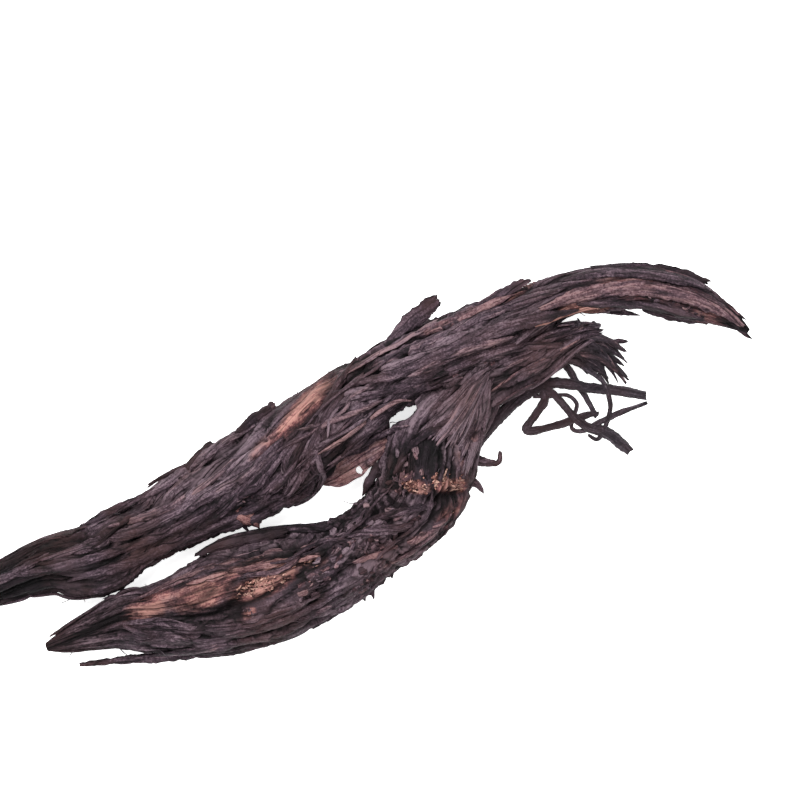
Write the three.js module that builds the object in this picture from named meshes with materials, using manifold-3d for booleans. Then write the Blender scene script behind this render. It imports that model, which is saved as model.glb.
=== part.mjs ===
// A dried arnebia root, lying on a table as it comes to rest. It grew as one piece, so it is one solid:
// a main root that runs from a tapered tail to a curved, split crown, a thick side root that leaves it near
// the crown and doubles back beside it, the frayed stub of a second stem, peeling bark and wiry rootlets.
//
// Millimetres, +Z up, the table at z = 0. +X runs from the tail to the crown along the longest extent, and
// the origin is under the middle of the footprint.
//
// A limb is a list of stations, [x, y, z, halfWidth, halfHeight]. Width lies flat, height stands up.

import * as THREE from "three";
import Module from "manifold-3d";

const wasm = await Module();
wasm.setup();

// Driving dimensions.
const ringStep = 3.2; // length of limb between two rings of a thick limb
const thinRingStep = 1.9; // the same for a rootlet or a strip of bark
const limbSides = 22;
const rootletSides = 7;
const stripSides = 8;
const barkLobes = 5; // lengthwise swellings of the bark round a thick limb
const lobeDepth = 0.045; // share of the radius that a swelling stands out
const lobeTwist = 0.045; // radians that the swellings turn for each millimetre of limb
const restingPlane = 0; // the belly is worn flat where the root lies on the table

// The main root: tail, belly, waist at the fork, and the crown that arches over and ends in a point.
const mainRootStations = [
  [-81.4, -0.8, 4.4, 0.7, 0.6],
  [-78, -0.5, 4.5, 1.9, 1.5],
  [-70, 0.3, 4.6, 2.8, 2.4],
  [-62, 0.9, 4.8, 3.5, 3.1],
  [-53, 1.3, 5.0, 4.9, 4.1],
  [-47.5, -0.1, 5.1, 6.2, 4.9],
  [-43, -0.5, 5.1, 6.6, 5.1],
  [-37.5, 0.7, 5.1, 5.8, 5.0],
  [-31, 2.0, 5.1, 5.7, 5.0],
  [-23, 3.5, 5.4, 6.6, 5.5],
  [-15, 5.0, 5.8, 7.3, 6.0],
  [-6.5, 6.3, 6.0, 7.7, 6.3],
  [2, 8.8, 6.2, 7.7, 6.4],
  [10.5, 11.7, 6.4, 7.1, 6.3],
  [19, 14.1, 6.6, 6.3, 6.0],
  [27, 14.6, 6.9, 6.5, 6.2],
  [35, 15.4, 7.3, 6.2, 5.8],
  [43, 16.6, 7.9, 4.9, 4.7],
  [51, 17.9, 8.5, 3.8, 3.8],
  [58, 16.8, 8.9, 3.9, 3.4],
  [65, 14.9, 9.1, 3.7, 3.1],
  [71.4, 10.8, 9.0, 3.6, 2.8],
  [76, 7.2, 8.6, 2.6, 2.0],
  [79.4, 3.6, 8.1, 1.4, 1.1],
  [81.2, 1.2, 7.7, 0.5, 0.5],
];

// The side root leaves the crown end, bends back at the elbow, swells and thins out towards the tail.
const sideRootStations = [
  [35, 10.5, 7.2, 4.0, 4.0],
  [28.4, 5.6, 7.2, 6.0, 5.4],
  [21.7, 1.2, 7.0, 7.7, 6.5],
  [18.1, -3.7, 6.9, 8.4, 7.0],
  [14.9, -7.9, 6.9, 8.0, 7.1],
  [10.1, -11.1, 6.8, 7.2, 7.0],
  [3.6, -13.1, 6.7, 6.7, 6.8],
  [-1.6, -14.5, 6.8, 7.6, 6.9],
  [-8.1, -15.1, 7.0, 8.6, 7.3],
  [-16.2, -15.2, 7.1, 10.0, 7.5],
  [-23.4, -15.0, 7.0, 9.9, 7.3],
  [-30.2, -15.0, 6.5, 8.6, 6.4],
  [-36.9, -14.1, 6.1, 6.4, 5.2],
  [-42.8, -13.2, 5.8, 4.8, 4.1],
  [-48.7, -13.0, 5.6, 3.3, 3.0],
  [-54.4, -13.0, 5.5, 2.0, 1.8],
  [-58.2, -12.9, 5.4, 0.7, 0.7],
];

// The second stem, broken off short beside the crown.
const stemStubStations = [
  [27.5, 6.5, 6.3, 4.6, 5.0],
  [32, 7.8, 6.3, 5.4, 5.5],
  [37.1, 8.5, 6.2, 5.2, 5.4],
  [42, 8.9, 6.3, 4.7, 4.9],
  [47, 9.2, 6.6, 4.2, 4.2],
  [51.7, 9.1, 7.0, 3.6, 3.4],
  [55.4, 8.4, 7.4, 2.7, 2.4],
  [57.8, 7.0, 7.6, 1.2, 1.1],
];

// Flat strips of bark that stand clear of the limbs: a flap in the fork, two flakes on the back, the torn
// edge of the side root, two loose strands under its thin end and a splinter above the tail.
const barkStripStations = {
  forkFlap: [
    [19, 5.4, 8.0, 1.4, 0.9],
    [12.7, 4.4, 7.6, 1.9, 0.8],
    [7, 2.6, 7.0, 3.0, 0.8],
    [3, 1.2, 6.4, 2.8, 0.9],
    [-1.5, 1.8, 6.0, 2.0, 1.4],
  ],
  forkBridge: [
    [21, 5.6, 6.2, 1.6, 1.4],
    [15, 6.6, 6.0, 1.5, 1.2],
    [9, 6.8, 6.0, 1.8, 1.4],
  ],
  backFlake: [
    [17.6, 18.8, 8.2, 0.9, 0.8],
    [21.5, 20.9, 9.4, 1.5, 0.9],
    [25.6, 22.6, 10.4, 1.8, 0.9],
    [29.4, 24.1, 11.0, 1.4, 0.8],
  ],
  crownFlake: [
    [33.5, 18.9, 8.6, 0.9, 0.9],
    [38.6, 21.1, 9.2, 1.1, 0.8],
    [43, 21.9, 9.6, 1.1, 0.7],
    [46.3, 22.4, 9.8, 0.6, 0.4],
  ],
  tornEdge: [
    [4, -6.4, 8.4, 1.4, 1.6],
    [-8, -7.3, 8.8, 1.4, 2.0],
    [-18, -7.5, 8.6, 1.5, 2.2],
    [-26, -8.6, 8.0, 1.5, 2.0],
    [-30, -9.9, 7.4, 1.2, 1.4],
  ],
  outerStrand: [
    [-26, -23.8, 5.6, 1.5, 1.3],
    [-33.5, -22.6, 5.2, 1.1, 0.8],
    [-40.7, -20.9, 4.6, 0.9, 0.6],
    [-48, -19.2, 4.2, 0.8, 0.5],
    [-54, -17.9, 4.0, 0.5, 0.4],
  ],
  innerStrand: [
    [-29, -20.6, 5.2, 1.9, 1.3],
    [-36, -19.4, 5.0, 1.2, 0.9],
    [-41, -18.0, 5.2, 1.0, 0.8],
    [-46, -16.0, 5.4, 1.0, 0.9],
  ],
  tailSplinter: [
    [-27, 7.9, 7.6, 0.9, 0.6],
    [-33, 7.3, 8.0, 0.7, 0.5],
    [-39.4, 6.4, 8.0, 0.8, 0.5],
    [-44.6, 5.7, 7.6, 0.5, 0.4],
  ],
  elbowSpur: [
    [24.5, -3.0, 7.4, 1.6, 1.2],
    [28.4, -6.2, 7.4, 0.9, 0.8],
    [30.4, -7.0, 7.8, 0.7, 0.6],
    [31.4, -5.6, 8.6, 0.5, 0.4],
  ],
  frayedBarkA: [
    [52, 9.4, 7.4, 1.8, 1.4],
    [56.4, 7.5, 7.9, 1.7, 0.9],
    [57.9, 4.4, 8.0, 1.4, 0.7],
    [58.4, 1.2, 7.6, 0.7, 0.5],
  ],
  frayedBarkB: [
    [53.5, 8.4, 6.2, 1.5, 1.1],
    [55.8, 4.2, 6.2, 1.1, 0.7],
    [55.2, 0.2, 5.6, 0.7, 0.5],
  ],
};

// Wiry rootlets under the crown, from the stub and the fork outwards.
const rootletStations = {
  longStrap: [
    [26, -3.6, 6.2, 1.5, 1.1],
    [31.7, -0.2, 6.4, 1.2, 1.0],
    [38, 2.8, 6.4, 1.1, 0.9],
    [42.4, 3.7, 6.2, 1.1, 0.9],
    [45.9, 3.1, 6.0, 1.0, 0.8],
    [50.8, 0.5, 6.1, 0.9, 0.8],
    [55.8, -1.7, 6.4, 0.9, 0.8],
    [60, -4.1, 6.8, 0.9, 0.7],
  ],
  elbowed: [
    [42.6, 3.0, 5.8, 0.9, 0.8],
    [42.3, 0.9, 5.4, 0.9, 0.8],
    [39.5, -0.9, 5.0, 0.9, 0.8],
    [37.5, -2.7, 4.8, 1.0, 0.9],
    [39.8, -3.8, 4.8, 1.0, 0.9],
    [43.5, -4.0, 4.9, 0.9, 0.8],
    [48.3, -3.9, 5.0, 0.9, 0.7],
    [51.4, -3.9, 4.9, 0.6, 0.6],
  ],
  crossing: [
    [42.8, 3.6, 6.2, 0.8, 0.7],
    [44.9, 0.2, 5.8, 0.8, 0.7],
    [46.5, -3.6, 5.4, 0.8, 0.7],
    [48.5, -6.4, 4.9, 0.9, 0.8],
    [50.8, -7.9, 4.6, 1.0, 0.8],
    [52.8, -10.5, 4.2, 1.1, 0.9],
    [54.3, -13.0, 3.9, 1.0, 0.8],
  ],
  drooping: [
    [47.6, 8.0, 5.4, 0.8, 0.7],
    [48.8, 3.0, 5.0, 0.7, 0.6],
    [49.9, -2.1, 4.8, 0.6, 0.6],
    [50.4, -5.0, 4.7, 0.6, 0.6],
  ],
  hooked: [
    [48.4, 7.6, 6.0, 0.7, 0.6],
    [51.5, 3.7, 6.8, 0.6, 0.5],
    [53.4, 0.8, 6.8, 0.6, 0.5],
    [53.5, -3.1, 6.2, 0.6, 0.5],
    [52.3, -5.8, 5.4, 0.55, 0.5],
    [50.6, -7.9, 4.8, 0.55, 0.5],
    [49.2, -8.9, 4.5, 0.5, 0.45],
    [47.9, -7.6, 4.6, 0.4, 0.4],
  ],
  looped: [
    [40.6, 2.4, 5.6, 0.5, 0.45],
    [43.4, 1.3, 5.6, 0.45, 0.4],
    [46.4, 0.6, 5.5, 0.45, 0.4],
    [47.7, -1.6, 5.2, 0.45, 0.4],
    [46.1, -3.9, 4.8, 0.45, 0.4],
    [45.5, -5.6, 4.3, 0.45, 0.4],
    [47.4, -6.6, 4.3, 0.5, 0.45],
    [51.5, -5.9, 4.9, 0.7, 0.55],
    [55.5, -5.5, 5.4, 0.55, 0.45],
    [59.9, -5.4, 5.8, 0.4, 0.35],
  ],
};

// A closed tube along a smooth line through the stations, with an elliptical section that swells in
// barkLobes ridges. Width is square to the line and level, and height is square to both.
function limbGeometry(stations, sides, step, lobes = 0) {
  const line = new THREE.CatmullRomCurve3(
    stations.map(([x, y, z]) => new THREE.Vector3(x, y, z)),
    false,
    "centripetal",
  );
  const sizes = new THREE.CatmullRomCurve3(
    stations.map(([, , , wide, high]) => new THREE.Vector3(wide, high, 0)),
  );
  const rings = Math.max(4, Math.round(line.getLength() / step));
  const up = new THREE.Vector3(0, 0, 1);
  const position = [];
  for (let ring = 0; ring <= rings; ring++) {
    const t = ring / rings;
    const centre = line.getPoint(t);
    const along = line.getTangent(t);
    const across = new THREE.Vector3().crossVectors(up, along).normalize();
    const over = new THREE.Vector3().crossVectors(along, across);
    const size = sizes.getPoint(t);
    const turned = lobeTwist * ring * step;
    for (let side = 0; side < sides; side++) {
      const angle = (2 * Math.PI * side) / sides;
      const swell = lobes ? 1 + lobeDepth * Math.cos(lobes * angle + turned) : 1;
      const point = centre
        .clone()
        .addScaledVector(across, Math.cos(angle) * size.x * swell)
        .addScaledVector(over, Math.sin(angle) * size.y * swell);
      position.push(point.x, point.y, point.z);
    }
  }
  const firstPole = position.length / 3;
  const lastPole = firstPole + 1;
  const first = line.getPoint(0);
  const last = line.getPoint(1);
  position.push(first.x, first.y, first.z, last.x, last.y, last.z);

  const index = [];
  for (let side = 0; side < sides; side++) {
    const next = (side + 1) % sides;
    index.push(firstPole, next, side);
    for (let ring = 0; ring < rings; ring++) {
      const here = ring * sides;
      const there = here + sides;
      index.push(here + side, here + next, there + next);
      index.push(here + side, there + next, there + side);
    }
    index.push(lastPole, rings * sides + side, rings * sides + next);
  }
  const geometry = new THREE.BufferGeometry();
  geometry.setAttribute("position", new THREE.Float32BufferAttribute(position, 3));
  geometry.setIndex(index);
  return geometry;
}

// A manifold-3d solid of a closed, indexed three.js geometry.
function solidOf(geometry) {
  const mesh = new wasm.Mesh({
    numProp: 3,
    vertProperties: geometry.attributes.position.array,
    triVerts: new Uint32Array(geometry.index.array),
  });
  return new wasm.Manifold(mesh);
}

// The three.js geometry of a manifold-3d solid.
function geometryOf(solid) {
  const mesh = solid.getMesh();
  const position = new Float32Array(mesh.numVert * 3);
  for (let vertex = 0; vertex < mesh.numVert; vertex++) {
    const start = vertex * mesh.numProp;
    position.set(mesh.vertProperties.subarray(start, start + 3), vertex * 3);
  }
  const geometry = new THREE.BufferGeometry();
  geometry.setAttribute("position", new THREE.BufferAttribute(position, 3));
  geometry.setIndex(new THREE.BufferAttribute(mesh.triVerts, 1));
  geometry.computeVertexNormals();
  return geometry;
}

// Everything below the resting plane, as a slab to take away from the belly.
function underTable() {
  const depth = 10;
  const slab = new THREE.BoxGeometry(240, 120, depth);
  slab.translate(0, 0, restingPlane - depth / 2);
  slab.deleteAttribute("normal");
  slab.deleteAttribute("uv");
  return solidOf(mergeCorners(slab));
}

// A box's six separate sides joined at their shared corners.
function mergeCorners(box) {
  const position = box.attributes.position;
  const corners = new Map();
  const points = [];
  const cornerOf = (i) => {
    const place = [position.getX(i), position.getY(i), position.getZ(i)];
    const key = place.join();
    if (!corners.has(key)) {
      corners.set(key, points.length / 3);
      points.push(...place);
    }
    return corners.get(key);
  };
  const index = Array.from(box.index.array, cornerOf);
  const merged = new THREE.BufferGeometry();
  merged.setAttribute("position", new THREE.Float32BufferAttribute(points, 3));
  merged.setIndex(index);
  return merged;
}

const thickLimbs = [mainRootStations, sideRootStations, stemStubStations].map((stations) =>
  limbGeometry(stations, limbSides, ringStep, barkLobes),
);
const barkStrips = Object.values(barkStripStations).map((stations) =>
  limbGeometry(stations, stripSides, thinRingStep),
);
const rootlets = Object.values(rootletStations).map((stations) =>
  limbGeometry(stations, rootletSides, thinRingStep),
);

let wholeRoot = solidOf(thickLimbs[0]);
for (const piece of [...thickLimbs.slice(1), ...barkStrips, ...rootlets]) {
  wholeRoot = wholeRoot.add(solidOf(piece));
}
wholeRoot = wholeRoot.subtract(underTable());

const driedBark = new THREE.MeshStandardMaterial({
  color: new THREE.Color(0.13, 0.085, 0.08),
  roughness: 0.75,
  metalness: 0,
});

const root = new THREE.Mesh(geometryOf(wholeRoot), driedBark);
root.name = "arnebia_root";

const group = new THREE.Group();
group.add(root);

export default group;
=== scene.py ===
import math
import bpy
import numpy as np
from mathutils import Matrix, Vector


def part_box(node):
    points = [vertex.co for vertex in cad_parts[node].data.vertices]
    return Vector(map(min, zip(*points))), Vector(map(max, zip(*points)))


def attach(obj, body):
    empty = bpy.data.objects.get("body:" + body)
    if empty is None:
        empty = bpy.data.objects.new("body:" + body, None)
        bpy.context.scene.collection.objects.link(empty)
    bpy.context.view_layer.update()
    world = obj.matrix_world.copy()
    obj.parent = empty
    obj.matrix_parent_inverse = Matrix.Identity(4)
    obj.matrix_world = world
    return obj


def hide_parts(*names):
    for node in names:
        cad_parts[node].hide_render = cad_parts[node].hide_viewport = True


# A dried arnebia root. Lengths are millimetres here and turn into metres when a mesh is put in.
# The limbs keep the stations of the solid that they stand for, x, y, z, half width and half height, but
# the side root's upper edge and the stub's end lie a little inside it.

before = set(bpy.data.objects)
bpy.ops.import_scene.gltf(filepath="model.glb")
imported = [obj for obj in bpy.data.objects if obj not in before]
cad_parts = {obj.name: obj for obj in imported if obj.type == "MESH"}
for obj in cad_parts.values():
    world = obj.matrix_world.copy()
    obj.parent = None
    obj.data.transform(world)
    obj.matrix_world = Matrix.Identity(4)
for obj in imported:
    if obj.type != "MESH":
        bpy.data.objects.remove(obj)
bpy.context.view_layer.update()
metres = 0.001
boxLow = np.array(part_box("arnebia_root")[0]) / metres
boxHigh = np.array(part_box("arnebia_root")[1]) / metres
print("frame loaded, box", boxLow.round(1), boxHigh.round(1))


def cornerMix(ix, iy, iz, seed):
    # lattice corner to a whole number: odd factors, then shifts and xors, kept to 32 bits
    h = (ix * 374761393 + iy * 668265263 + iz * 1440662683 + seed * 974634777) & 0xFFFFFFFF
    h = ((h ^ (h >> 15)) * 2246822519) & 0xFFFFFFFF
    h = ((h ^ (h >> 13)) * 3266489917) & 0xFFFFFFFF
    return h ^ (h >> 16)


def noise(x, y, z, seed):
    # gradient noise, about -0.8 to 0.8: each lattice corner has a slope, and the eight slopes round a
    # point are blended with 6t^5 - 15t^4 + 10t^3
    x, y, z = np.broadcast_arrays(np.asarray(x, float), y, z)
    ix, iy, iz = (np.floor(v).astype(np.int64) for v in (x, y, z))
    fx, fy, fz = x - ix, y - iy, z - iz
    bx, by, bz = (f * f * f * (f * (f * 6 - 15) + 10) for f in (fx, fy, fz))
    total = 0.0
    for cx in (0, 1):
        for cy in (0, 1):
            for cz in (0, 1):
                h = cornerMix(ix + cx, iy + cy, iz + cz, seed) & 15
                px, py, pz = fx - cx, fy - cy, fz - cz
                first = np.where(h < 8, px, py)
                second = np.where(h < 4, py, np.where((h == 12) | (h == 14), px, pz))
                slope = np.where(h & 1, -first, first) + np.where(h & 2, -second, second)
                share = (bx if cx else 1 - bx) * (by if cy else 1 - by) * (bz if cz else 1 - bz)
                total = total + slope * share
    return total


def smooth(low, high, value):
    # 0 below low, 1 above high, 3t^2 - 2t^3 between
    t = np.clip((value - low) / (high - low), 0, 1)
    return t * t * (3 - 2 * t)


def unit(vectors):
    return vectors / np.maximum(np.linalg.norm(vectors, axis=-1, keepdims=True), 1e-9)


def smoothLine(stations, step):
    # Catmull-Rom through the stations, then read off at even steps of length
    p = np.array(stations, float)
    p = np.vstack([2 * p[0] - p[1], p, 2 * p[-1] - p[-2]])
    t = np.linspace(0, len(stations) - 1, 60 * (len(stations) - 1) + 1)
    i = np.minimum(t.astype(int), len(stations) - 2)
    f = (t - i)[:, None]
    a, b, c, d = p[i], p[i + 1], p[i + 2], p[i + 3]
    q = 0.5 * (2 * b + (c - a) * f + (2 * a - 5 * b + 4 * c - d) * f**2 + (3 * b - a - 3 * c + d) * f**3)
    run = np.concatenate([[0], np.cumsum(np.linalg.norm(np.diff(q[:, :3], axis=0), axis=1))])
    even = np.linspace(0, run[-1], max(6, round(run[-1] / step)))
    return even, np.stack([np.interp(even, run, q[:, k]) for k in range(q.shape[1])], 1)


def makeLimb(stations, step=0.5):
    # a centreline with a level direction across it and one square to both
    run, q = smoothLine(stations, step)
    along = unit(np.gradient(q[:, :3], axis=0))
    across = unit(np.cross([0.0, 0.0, 1.0], along))
    return {"run": run, "centre": q[:, :3], "across": across, "over": np.cross(along, across),
            "wide": np.maximum(q[:, 3], 0.2), "high": np.maximum(q[:, 4], 0.2)}


def onLimb(limb, run, angle, out=0.0):
    # centre + across cos(angle) wide + over sin(angle) high, then out along the ellipse's normal
    def read(key):
        return np.stack([np.interp(run, limb["run"], limb[key][:, k]) for k in range(3)], -1)
    wide = np.interp(run, limb["run"], limb["wide"])[..., None]
    high = np.interp(run, limb["run"], limb["high"])[..., None]
    across, over = unit(read("across")), unit(read("over"))
    c, s = np.cos(angle)[..., None], np.sin(angle)[..., None]
    normal = unit(across * c / wide + over * s / high)
    place = read("centre") + across * c * wide + over * s * high + normal * np.asarray(out)[..., None]
    return place, normal


def thinning(limb, run):
    # bark is thinner where the limb is: this share of its full thickness
    fullFrom, least = 5.5, 0.12  # half width that has the full thickness, smallest share
    return np.clip(np.interp(run, limb["run"], limb["wide"]) / fullFrom, least, 1.0)


def lineDistance(place, line):
    # distance in plan from each point to the nearest stretch of a line, and how far along it, 0 to 1
    best = np.full(place.shape[:-1], 1e9)
    share = np.zeros(place.shape[:-1])
    ends = np.array(line, float)
    for k in range(len(ends) - 1):
        a, b = ends[k][:2], ends[k + 1][:2]
        t = np.clip(((place[..., :2] - a) @ (b - a)) / ((b - a) @ (b - a)), 0, 1)
        d = np.linalg.norm(place[..., :2] - (a + t[..., None] * (b - a)), axis=-1)
        share = np.where(d < best, (k + t) / (len(ends) - 1), share)
        best = np.minimum(best, d)
    return best, share


def turned(settings, run, angle):
    # the fibres wind round the limb: the turn at each length is read from the limb's own list
    runs, turns = zip(*settings["twist"])
    return angle + np.interp(run, runs, turns)


# Creases: length and width of the noise in mm, how sharp they are and what they add to the seed.
creaseKinds = {"folds": (26, 3.6, 0.11, 2), "pleats": (13, 1.7, 0.12, 3), "cracks": (34, 4.6, 0.035, 12),
               "strands": (11, 0.85, 0.14, 4)}
# Layers sum three noises: share, length, width and what each adds to the seed.
layerNoises = ((2.4, 17, 4.2, 5), (0.5, 5, 1.1, 6), (0.16, 1.6, 0.45, 7))


def barkRelief(settings, run, angle, fine=True):
    # folds, pleats and fibres: each is 1 - exp(-|noise| / crease), so that round backs meet in sharp
    # creases. The noise is stretched along the fibres and bent by a slower noise. Layers add a step
    # at each whole number of another stretched noise, like sheets of bark torn off one above another.
    # Besides the relief it gives a painted shade for the colour, 0 to 1, darkest in the creases.
    seed, ring = settings["seed"], settings["ring"]
    turn = turned(settings, run, angle)
    y, z = ring * np.cos(turn), ring * np.sin(turn)
    bend = noise(run / 16, y / 6, z / 6, seed)
    turn = turn + settings["wander"] * bend
    y, z = ring * np.cos(turn), ring * np.sin(turn)
    slip = run + 3.0 * noise(run / 9, y / 4, z / 4, seed + 1)
    rough = settings["rough"](run) if "rough" in settings else 0.0

    def creased(kind):
        long, wide, crease, k = creaseKinds[kind]
        n = noise(slip / long, y / wide, z / wide, seed + k)
        return 1 - np.exp(-np.abs(n) / crease)
    folds, pleats, cracks = creased("folds"), creased("pleats"), creased("cracks")
    relief = settings["fold"] * (folds - 0.72) + settings["pleat"] * (pleats - 0.72)
    relief = relief + settings["crack"] * (cracks - 1)
    # painted shade, darkest in the folds, pleats and cracks
    paintedShade = 0.8 * (1 - folds) ** 1.5 + 0.6 * (1 - pleats) ** 1.5 + 0.9 * (1 - cracks)
    if not fine:
        return relief, paintedShade
    strands = creased("strands")
    relief = relief + settings["strand"] * (strands - 0.7)
    stack = sum(share * noise(slip / long, y / wide, z / wide, seed + k)
                for share, long, wide, k in layerNoises)
    level = stack - np.floor(stack)
    relief = relief + settings["layer"] * (smooth(0, 0.09, level) * (1 - 0.8 * level) - 0.45)
    # more painted shade just below each step and in the strands' creases
    paintedShade = paintedShade + 0.6 * smooth(0.8, 1.0, level) + 0.3 * (1 - strands) ** 2
    crumb = noise(run / 1.5, y / 1.3, z / 1.3, seed + 8) + 0.5 * noise(run / 0.7, y / 0.6, z / 0.6, seed + 9)
    relief = relief + (0.12 + 0.55 * rough) * crumb
    # painted shade in the hollows of rough places
    paintedShade = paintedShade + rough * smooth(0.05, -0.5, crumb)
    return relief, np.clip(paintedShade, 0, 1)


def linked(name, data):
    thing = bpy.data.objects.new(name, data)
    bpy.context.scene.collection.objects.link(thing)
    return thing


def putMesh(name, verts, quads, tris, values, material):
    # verts are millimetres. values are attributes by name, one number or three for each vertex
    mesh = bpy.data.meshes.new(name)
    loops = np.concatenate([quads.ravel(), tris.ravel()]).astype(np.int32)
    sizes = np.concatenate([np.full(len(quads), 4), np.full(len(tris), 3)]).astype(np.int32)
    starts = np.concatenate([[0], np.cumsum(sizes)[:-1]]).astype(np.int32)
    mesh.vertices.add(len(verts))
    mesh.vertices.foreach_set("co", (verts * metres).astype(np.float32).ravel())
    mesh.loops.add(len(loops))
    mesh.loops.foreach_set("vertex_index", loops)
    mesh.polygons.add(len(sizes))
    mesh.polygons.foreach_set("loop_start", starts)
    mesh.polygons.foreach_set("use_smooth", np.ones(len(sizes), bool))
    mesh.update(calc_edges=True)
    for key, value in values.items():
        vector = value.ndim == 2
        attribute = mesh.attributes.new(key, "FLOAT_VECTOR" if vector else "FLOAT", "POINT")
        attribute.data.foreach_set("vector" if vector else "value", value.astype(np.float32).ravel())
    mesh.materials.append(material)
    mesh.validate()
    piece = linked(name, mesh)
    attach(piece, "root")
    print(name, len(quads) * 2 + len(tris), "triangles")
    return piece


def tubeFaces(rings, sides):
    # quads between rings, and a fan to a pole at each end. The poles are the last two vertices
    side = np.arange(sides)
    following = (side + 1) % sides
    ring = np.arange(rings - 1)[:, None] * sides
    quads = np.stack([ring + side, ring + following, ring + sides + following, ring + sides + side], -1)
    last = (rings - 1) * sides
    first, final = rings * sides, rings * sides + 1
    tris = np.concatenate([np.stack([np.full(sides, first), following, side], -1),
                           np.stack([np.full(sides, final), last + side, last + following], -1)])
    return quads.reshape(-1, 4), tris


def keepInBox(verts):
    # rest on the table, and ease what stands above the box or beside it back under its faces
    margin = 0.5  # the stretch that easing takes
    past = np.array([0.3, 0.3, 0.25])  # how far past the box's faces a strip may stand
    low, high = boxLow - past, boxHigh + past
    for k in range(3):
        start = high[k] - margin
        over = np.maximum(verts[..., k] - start, 0)
        verts[..., k] = np.minimum(verts[..., k], start) + margin * np.tanh(over / margin)
    for k in range(2):
        start = low[k] + margin
        under = np.maximum(start - verts[..., k], 0)
        verts[..., k] = np.maximum(verts[..., k], start) - margin * np.tanh(under / margin)
    verts[..., 2] = np.maximum(verts[..., 2], 0.0)
    return verts


def joined(parts):
    # many small meshes as one: vertices end to end, faces counted on
    starts = np.concatenate([[0], np.cumsum([len(p[0]) for p in parts])[:-1]])
    verts = np.concatenate([p[0] for p in parts])
    quads = np.concatenate([p[1] + s for p, s in zip(parts, starts)])
    tris = np.concatenate([p[2] + s for p, s in zip(parts, starts)])
    values = {key: np.concatenate([p[3][key] for p in parts]) for key in parts[0][3]}
    return verts, quads, tris, values


def putParts(name, parts, material):
    # many strips as one piece
    verts, quads, tris, values = joined(parts)
    piece = putMesh(name, keepInBox(verts), quads, tris, values, material)


def blade(centre, normal, halfWide, thick, seed, bow=0.0, jag=0.8, sides=10, tone=0.0, worn=0.0, ragged=0.3):
    # a strip or a tube carried along a path: side cos(a) halfWide + over sin(a) thick, the section bowed
    # by the square of its width. Both edges are ragged, and the ends run out by a different length at
    # each place across, so that they look torn
    reach = 2.2  # how far from an end the torn ends begin
    count = len(centre)
    step = np.linalg.norm(np.diff(centre, axis=0), axis=1)
    run = np.concatenate([[0], np.cumsum(step)])
    along = unit(np.gradient(centre, axis=0))
    side = unit(np.cross(along, normal))
    over = np.cross(side, along)
    a = 2 * np.pi * np.arange(sides) / sides
    v, up = np.cos(a), np.sin(a)
    edge = 1 + ragged * (noise(run[:, None] / 1.6, v * 2.2, seed * 1.7, seed)
                         + 0.6 * noise(run[:, None] / 0.6, v * 4, seed * 1.3, seed + 1))
    wide = halfWide[:, None] * edge
    groove = 0.3 * noise(run[:, None] / 4, v * halfWide[:, None] / 0.42 + 7, up * 0.7, seed + 2)
    height = thick[:, None] * up * (1 + groove) + bow * halfWide[:, None] * v * v
    toEnd = np.exp(-(run[-1] - run) / reach) - np.exp(-run / reach)
    shift = jag * toEnd[:, None] * noise(v * halfWide[:, None] / 0.5, up * 0.4, 0.5, seed + 3) * 1.6
    rings = (centre[:, None] + side[:, None] * (wide * v)[..., None] + over[:, None] * height[..., None]
             + along[:, None] * shift[..., None])
    verts = np.concatenate([rings.reshape(-1, 3), rings[:1].mean(1), rings[-1:].mean(1)])
    quads, tris = tubeFaces(count, sides)
    fibre = np.stack([np.broadcast_to(run[:, None], wide.shape) + seed * 3.7, wide * v + seed * 1.9,
                      height], -1).reshape(-1, 3)
    # painted shade on the underside of each strip
    under = np.broadcast_to(np.maximum(-up, 0) * 0.7, wide.shape).reshape(-1)
    values = {"fibre": np.concatenate([fibre, fibre[:1], fibre[-1:]]),
              "paintedShade": np.concatenate([under, [0, 0]]),
              "tone": np.full(len(verts), tone), "worn": np.full(len(verts), worn)}
    return verts, quads, tris, values


def nodeKit(tree):
    # short hands for laying nodes. An input takes a value or another node's output
    def feed(socket, value):
        if isinstance(value, bpy.types.NodeSocket):
            tree.links.new(value, socket)
        else:
            socket.default_value = value

    def add(kind, **settings):
        node = tree.nodes.new(kind)
        for key, value in settings.items():
            if key in node.inputs:
                feed(node.inputs[key], value)
            else:
                setattr(node, key, value)
        return node

    def maths(operation, *values, kind="ShaderNodeMath"):
        node = add(kind, operation=operation)
        for socket, value in zip(node.inputs, values):
            feed(socket, value)
        return node.outputs[0]

    def ranged(value, fromLow, fromHigh, toLow=0.0, toHigh=1.0):
        # a straight line from one range to the other, held at both ends
        node = add("ShaderNodeMapRange", clamp=True)
        for socket, number in zip(node.inputs, (value, fromLow, fromHigh, toLow, toHigh)):
            feed(socket, number)
        return node.outputs[0]

    def cloudy(place, scale, detail, roughness, distortion=0.0):
        node = add("ShaderNodeTexNoise", Vector=place, Scale=scale, Detail=detail, Roughness=roughness,
                   Distortion=distortion)
        return node.outputs["Fac"]
    return feed, add, maths, ranged, cloudy


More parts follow.
